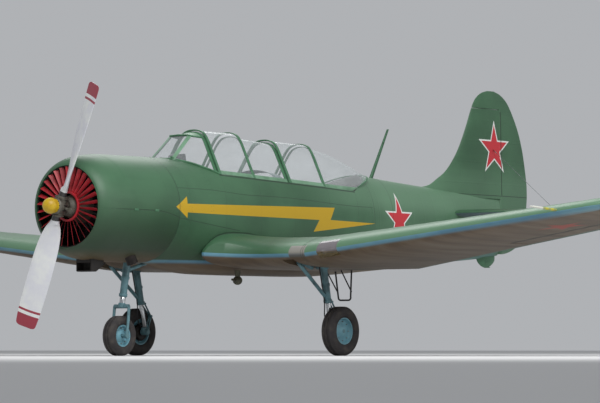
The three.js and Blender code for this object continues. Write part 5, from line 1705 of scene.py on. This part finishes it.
def build_main_leg(side, name):
    """An outer cylinder with collars over a bright piston, its braces, scissor, brake and hose."""
    axle = station(f"main_wheel_{name}_spin")
    y, sleeve, piston = side * MAIN_LEG["y"], 0.040, 0.026
    top, foot = Vector((MAIN_LEG["top_x"], y, MAIN_LEG["top_z"])), Vector((axle.x, y, axle.z))
    neck = top.lerp(foot, 0.6)
    leg = Shape().rod(top, neck, (sleeve, sleeve * 0.94), 28)
    for t in (0.04, 0.55, 0.93):
        leg.rod(top.lerp(neck, t), top.lerp(neck, min(1.0, t + 0.06)), sleeve * 1.12, 28)
    leg.rod(neck, neck.lerp(foot, 0.86), piston, 24, paint=1)
    leg.rod(neck.lerp(foot, 0.82), foot, (piston * 1.35, piston * 1.5), 24)
    leg.rod((top.x, y - 0.07, -0.57), (top.x, y + 0.07, -0.57), 0.024)
    leg.pin(axle, side * -0.144, side * 0.046, 0.020, 24)
    leg.pin(axle, side * -0.146, side * -0.074, 0.036, 24)
    scissor(leg, neck + Vector((0.035, 0, 0.01)), foot + Vector((0.03, 0, 0.035)), (0.085, 0, 0))
    leg.rod(neck + Vector((-0.004, 0, 0.03)), (2.47, y, -0.53), 0.019, 16)
    leg.rod((2.70, y, -0.58), (2.47, y, -0.505), 0.024, 16)
    leg.rod((axle.x, y - side * 0.034, axle.z), (axle.x, y - side * 0.052, axle.z), (0.03, 0.026))
    fit(leg, f"leg_{name}", "gear chrome", "gear_blue", f"main_leg_{name}", bevel=0.0015)
    drum = [(-0.012, 0.0), (-0.012, 0.085), (0.004, 0.095), (0.016, 0.095), (0.016, 0.0)]
    brake = Shape().turned(drum, (axle.x, axle.y - side * 0.058, axle.z), (0, 1, 0), 40, closed=False)
    fit(brake, f"brake_{name}", "dark", "gear_blue")
    path = [top + Vector((-0.052, 0, -0.06)), neck + Vector((-0.062, 0, 0.02)),
            neck.lerp(foot, 0.5) + Vector((-0.085, 0, 0)), foot + Vector((-0.05, side * 0.02, 0.06)),
            foot + Vector((-0.03, side * 0.045, 0.03))]
    fit(Shape().tube(smooth_path(path, 28), 0.006), f"brake_hose_{name}", "black", "gear_blue")


def build_nose_gear():
    """The fixed strut with its braces, and the fork that steers."""
    axle, pivot = station("nose_wheel_spin"), station("nose_steer")
    axis = Vector(JOINTS["nose_steer"]["axis"]).normalized()
    top, split = NOSE_LEG_TOP, pivot + axis * 0.105
    leg = Shape().rod(top, split, (0.038, 0.036), 28)
    for t in (0.05, 0.5, 0.92):
        leg.rod(top.lerp(split, t), top.lerp(split, t + 0.06), 0.043, 28)
    leg.rod(pivot + axis * 0.374, (1.72, 0, -0.50), 0.018, 16)
    leg.rod((1.312, -0.08, -0.50), (1.312, 0.08, -0.50), 0.02, 16)
    for side in (-1, 1):
        leg.rod((1.30, side * 0.07, -0.50), (1.50, side * 0.11, -0.43), 0.016, 16)
    fit(leg, "nose_strut", "gear chrome", "gear_blue", "nose_leg", bevel=0.0015)
    crown, arm = pivot + axis * 0.010, 0.094
    fork = Shape().rod(split - axis * HAIR, crown, 0.029, 24, paint=1)
    fork.rod(crown + axis * 0.03, crown - axis * 0.012, 0.037, 24)
    fork.pin(crown, -arm, arm, 0.021)
    fork.pin(axle, -arm - 0.014, arm + 0.014, 0.014)
    for side in (-1, 1):
        path = [crown + Vector((0, side * arm, 0)),
                crown.lerp(axle, 0.5) + Vector((0.004, side * (arm + 0.003), 0)),
                axle + Vector((0, side * arm, 0))]
        fork.tube(smooth_path(path, 14), 0.0155, 14)
        fork.pin(axle, side * (arm - 0.016), side * (arm + 0.018), 0.026)
    fit(fork, "fork", "gear chrome", "gear_blue", "nose_fork", "nose_steering", bevel=0.0015)


def build_gear():
    for side, name in SIDES:
        build_main_leg(side, name)
    build_nose_gear()
    for side, name in SIDES:
        wheel(f"main_{name}", f"main_wheel_{name}", 0.25, 0.15, "tyre_left")
    wheel("nose", "nose_wheel", 0.20, 0.14, "tyre_nose")


# Fittings

def build_scoop():
    outline = [(0.63, -0.49), (0.63, -0.638), (0.705, -0.638), (0.82, -0.57), (0.82, -0.49)]
    scoop = Shape().prism(outline, -0.105, 0.105).make("scoop", "scoop", bevel=0.012)
    mouth = Shape().block((0.6, -0.09, -0.626), (0.725, 0.09, -0.55)).make("mouth")
    mount(carve(scoop, [mouth]), "intake_scoop")


def build_exhausts():
    for side, name in SIDES:
        a, b = Vector((1.06, side * 0.2, -0.42)), Vector((1.12, side * 0.215, -0.548))
        end = (b - a).length
        pipe = Shape().turned([(0, 0.055), (end, 0.055), (end, 0.050), (0.0, 0.050)], a, b - a, 36)
        pipe.turned([(end - 0.014, 0.058), (end + 0.002, 0.058), (end + 0.002, 0.05), (end - 0.014, 0.05)],
                    a, b - a, 36)
        fit(pipe, f"pipe_{name}", "exhaust", "exhaust_steel", f"exhaust_{name}")


def build_mast():
    """A tapered, streamlined mast. Its ends are station, height, chord and half thickness."""
    foot, tip = (5.32, 0.44, 0.062, 0.014), (5.655, 1.0105, 0.034, 0.007)
    rings = []
    for t in np.linspace(0, 1, 14):
        x, z, chord, half = (mix(p, q, t) for p, q in zip(foot, tip))
        rings.append([(x + a, b, z) for a, b in streamline(chord, 2 * half / chord, steps=12)])
    fit(Shape().solid(rings), "mast", "mast", "mast_green", "antenna_mast")


def build_step():
    """A bent rod with a brace to each leg, on the left."""
    x, inner, outer, low, corner = 4.15, -0.478, -0.642, -0.858, 0.03
    path = [(4.13, -0.452, -0.57), (4.148, inner, -0.85)]
    quarter = np.linspace(0, math.pi / 2, 6)
    path += [(x, inner - corner + corner * math.cos(a), low - corner * math.sin(a)) for a in quarter]
    path += [(x, outer + corner - corner * math.sin(a), low - corner * math.cos(a)) for a in quarter]
    path += [(4.148, outer, -0.85), (4.13, -0.668, -0.57)]
    step = Shape().tube(path, 0.009, 12)
    step.tube([(4.148, -0.468, -0.80), (3.96, -0.462, -0.575)], 0.007, 10)
    step.tube([(4.148, -0.653, -0.80), (3.96, -0.658, -0.575)], 0.007, 10)
    fit(step, "step_rods", "black", "step_black", "boarding_step")


def build_fittings():
    build_scoop()
    build_exhausts()
    build_mast()
    build_step()
    dome = [(0.0, 0.0)]
    dome += [(0.046 - 0.046 * math.cos(a), 0.05 * math.sin(a)) for a in np.linspace(0.2, 2.6, 14)]
    dome += [(0.1, 0.03), (0.15, 0.03), (0.15, 0.0)]
    housing = Shape().turned(dome, (2.64, -0.33, -0.745), (0, 0, 1), 32, closed=False)
    housing.rod((2.60, -0.33, -0.70), (2.55, -0.33, -0.69), 0.012, 12)
    fit(housing, "housing", "housing", "housing_grey", "belly_housing")
    tube = [(0.0, 0.0), (0.0, 0.004), (0.012, 0.007), (0.05, 0.0075), (0.06, 0.011), (0.5, 0.0125),
            (0.57, 0.0125), (0.57, 0.0)]
    pitot = Shape().turned(tube, (1.85, -4.50, -0.061), (0.57, 0, -0.029), 24, closed=False)
    fit(pitot, "pitot", "pitot", "pitot_metal", "pitot_tube")


def build_studs():
    """Rivet lines on the metal skins and round the cowl, and the cowl's latches."""
    sunk = 0.0002
    paths = []
    for x in (1.50, 1.64, 1.68, 2.01, 2.05, 4.88):
        ring = [p for p in hull_ring(x, -sunk, 64) if p[2] > -0.55]
        half = len(ring) // 2
        paths += [ring[:half], ring[half:]]
    for x in (1.29, 1.465):
        r = float(np.interp(x, [p[0] for p in COWL], [p[1] for p in COWL])) - sunk
        paths.append([(x, r * math.cos(a), r * math.sin(a)) for a in np.linspace(0, 2 * math.pi, 65)])
    for y in (1.05, 1.44):
        for side in (-1, 1):
            ring = centre_ring(side * y)
            paths += [ring[2:36], ring[45:78]]
    mount(studs_along("rivets", paths, "stud"))
    latch = Shape()
    for x in (0.81, 1.12):
        for y in (-0.533, 0.533):
            latch.block((x - 0.03, y - 0.006, -0.042), (x + 0.03, y + 0.006, -0.018))
    fit(latch, "cowl_latches", "frame", "skin_green", bevel=0.003)


# Stage

# Area lights: name, place, power, size
LIGHTS = (("key", (-9, -9, 12), 1700, 9.0), ("fill", (2, -14, 5), 350, 10.0), ("back", (9, 9, 12), 700, 9.0))
LIT_HEIGHT = 1.2
# Camera: station it looks past, turn from dead ahead, height, pixels per metre, and that station's pixel
VIEW = {"x": 3.0, "yaw": math.radians(39.02), "height": 0.06, "scale": 96.12, "column": 234.7, "row": 214.2}
PICTURE = (600, 403)
SENSOR = 36


def turn_to(thing, target):
    """Points a light or camera at a place."""
    thing.rotation_euler = (target - thing.location).to_track_quat("-Z", "Y").to_euler()


def build_floor_and_lights():
    bpy.ops.mesh.primitive_plane_add(size=400)
    floor = bpy.context.object
    floor.name = "floor"
    pale = bpy.data.materials.new("floor_pale")
    pale.use_nodes = True
    feed(pale.node_tree, pale.node_tree.nodes["Principled BSDF"],
         {"Base Color": (0.62, 0.62, 0.62, 1), "Roughness": 0.9})
    floor.data.materials.append(pale)
    world = bpy.data.worlds.new("studio")
    world.use_nodes = True
    feed(world.node_tree, world.node_tree.nodes["Background"],
         {"Color": (0.72, 0.74, 0.77, 1), "Strength": 0.6})
    bpy.context.scene.world = world
    for name, place, power, size in LIGHTS:
        light = bpy.data.lights.new(name, "AREA")
        light.energy, light.size = power, size
        lamp = added(name, light)
        lamp.location = place
        turn_to(lamp, Vector((0, 0, LIT_HEIGHT)))
    bpy.context.scene.view_settings.view_transform = "Standard"


def build_camera():
    """The camera at floor level, on the photograph's side."""
    camera = bpy.data.cameras.new("camera")
    holder = added("camera", camera)
    middle = Vector((VIEW["x"], 0, 0)) + ORIGIN
    far = sizes().camera_far
    rise = math.asin((VIEW["height"] - middle.z) / far)
    flat = math.cos(rise)
    back = Vector((-math.cos(VIEW["yaw"]) * flat, -math.sin(VIEW["yaw"]) * flat, math.sin(rise)))
    holder.location = middle + back * far
    right = Vector((0, 0, 1)).cross(back).normalized()
    aside = (PICTURE[0] / 2 - VIEW["column"]) / VIEW["scale"]
    above = (VIEW["row"] - PICTURE[1] / 2) / VIEW["scale"]
    turn_to(holder, middle + right * aside + back.cross(right) * above)
    camera.sensor_width = SENSOR
    camera.lens = SENSOR * VIEW["scale"] * far / PICTURE[0]
    camera.clip_end = 500
    bpy.context.scene.camera = holder


def main():
    register()
    for step in ("hull", "cowl", "engine", "propeller", "canopy", "cockpit", "wings", "tail", "gear",
                 "fittings", "stage"):
        getattr(bpy.ops.trainer, step)()
    bpy.context.view_layer.update()


# Operators, panel and registration

class TRAINER_OT_hull(bpy.types.Operator):
    """Build the hull, cockpit tub and decks"""

    bl_idname = "trainer.hull"
    bl_label = "Hull"

    def execute(self, context):
        build_hull()
        build_tub()
        return {"FINISHED"}


class TRAINER_OT_cowl(bpy.types.Operator):
    """Build the two halves of the cowl"""

    bl_idname = "trainer.cowl"
    bl_label = "Cowl"

    def execute(self, context):
        build_cowl()
        return {"FINISHED"}


class TRAINER_OT_engine(bpy.types.Operator):
    """Build the shutters and the engine behind them"""

    bl_idname = "trainer.engine"
    bl_label = "Engine"

    def execute(self, context):
        build_shutters()
        build_engine()
        return {"FINISHED"}


class TRAINER_OT_propeller(bpy.types.Operator):
    """Build the blades, hub and cap"""

    bl_idname = "trainer.propeller"
    bl_label = "Propeller"

    def execute(self, context):
        build_propeller()
        return {"FINISHED"}


class TRAINER_OT_canopy(bpy.types.Operator):
    """Build the windscreen, the hoods and the fixed bays"""

    bl_idname = "trainer.canopy"
    bl_label = "Canopy"

    def execute(self, context):
        build_canopy()
        return {"FINISHED"}


class TRAINER_OT_cockpit(bpy.types.Operator):
    """Build the seats, instrument panels and sticks"""

    bl_idname = "trainer.cockpit"
    bl_label = "Cockpit"

    def execute(self, context):
        build_cockpit()
        return {"FINISHED"}


class TRAINER_OT_wings(bpy.types.Operator):
    """Build the centre section, flap, wings and ailerons"""

    bl_idname = "trainer.wings"
    bl_label = "Wings"

    def execute(self, context):
        build_centre()
        build_flap()
        for side, name in SIDES:
            build_wing(side, name)
        return {"FINISHED"}


class TRAINER_OT_tail(bpy.types.Operator):
    """Build the fin, rudder, tailplane and elevator"""

    bl_idname = "trainer.tail"
    bl_label = "Tail"

    def execute(self, context):
        build_fin()
        build_tailplane()
        build_tail_fittings()
        return {"FINISHED"}


class TRAINER_OT_gear(bpy.types.Operator):
    """Build the legs, fork and wheels"""

    bl_idname = "trainer.gear"
    bl_label = "Landing gear"

    def execute(self, context):
        build_gear()
        return {"FINISHED"}


class TRAINER_OT_fittings(bpy.types.Operator):
    """Build the small pieces outside and the rivets"""

    bl_idname = "trainer.fittings"
    bl_label = "Fittings"

    def execute(self, context):
        build_fittings()
        build_studs()
        return {"FINISHED"}


class TRAINER_OT_stage(bpy.types.Operator):
    """Set the floor, lights and camera"""

    bl_idname = "trainer.stage"
    bl_label = "Stage"

    def execute(self, context):
        build_floor_and_lights()
        build_camera()
        return {"FINISHED"}


OPERATORS = [
    TRAINER_OT_hull,
    TRAINER_OT_cowl,
    TRAINER_OT_engine,
    TRAINER_OT_propeller,
    TRAINER_OT_canopy,
    TRAINER_OT_cockpit,
    TRAINER_OT_wings,
    TRAINER_OT_tail,
    TRAINER_OT_gear,
    TRAINER_OT_fittings,
    TRAINER_OT_stage,
]


class TRAINER_PT_panel(bpy.types.Panel):
    """The trainer's pieces, in building order"""

    bl_label = "Parked Trainer"
    bl_idname = "TRAINER_PT_panel"
    bl_space_type = "VIEW_3D"
    bl_region_type = "UI"
    bl_category = "Trainer"

    def draw(self, context):
        for made in OPERATORS:
            self.layout.operator(made.bl_idname)


CLASSES = [TrainerColours, TrainerSizes, *OPERATORS, TRAINER_PT_panel]


def register():
    for made in CLASSES:
        bpy.utils.register_class(made)
    bpy.types.Scene.trainer_colours = PointerProperty(type=TrainerColours)
    bpy.types.Scene.trainer_sizes = PointerProperty(type=TrainerSizes)


def unregister():
    del bpy.types.Scene.trainer_sizes
    del bpy.types.Scene.trainer_colours
    for made in reversed(CLASSES):
        bpy.utils.unregister_class(made)


if __name__ == "__main__":
    main()
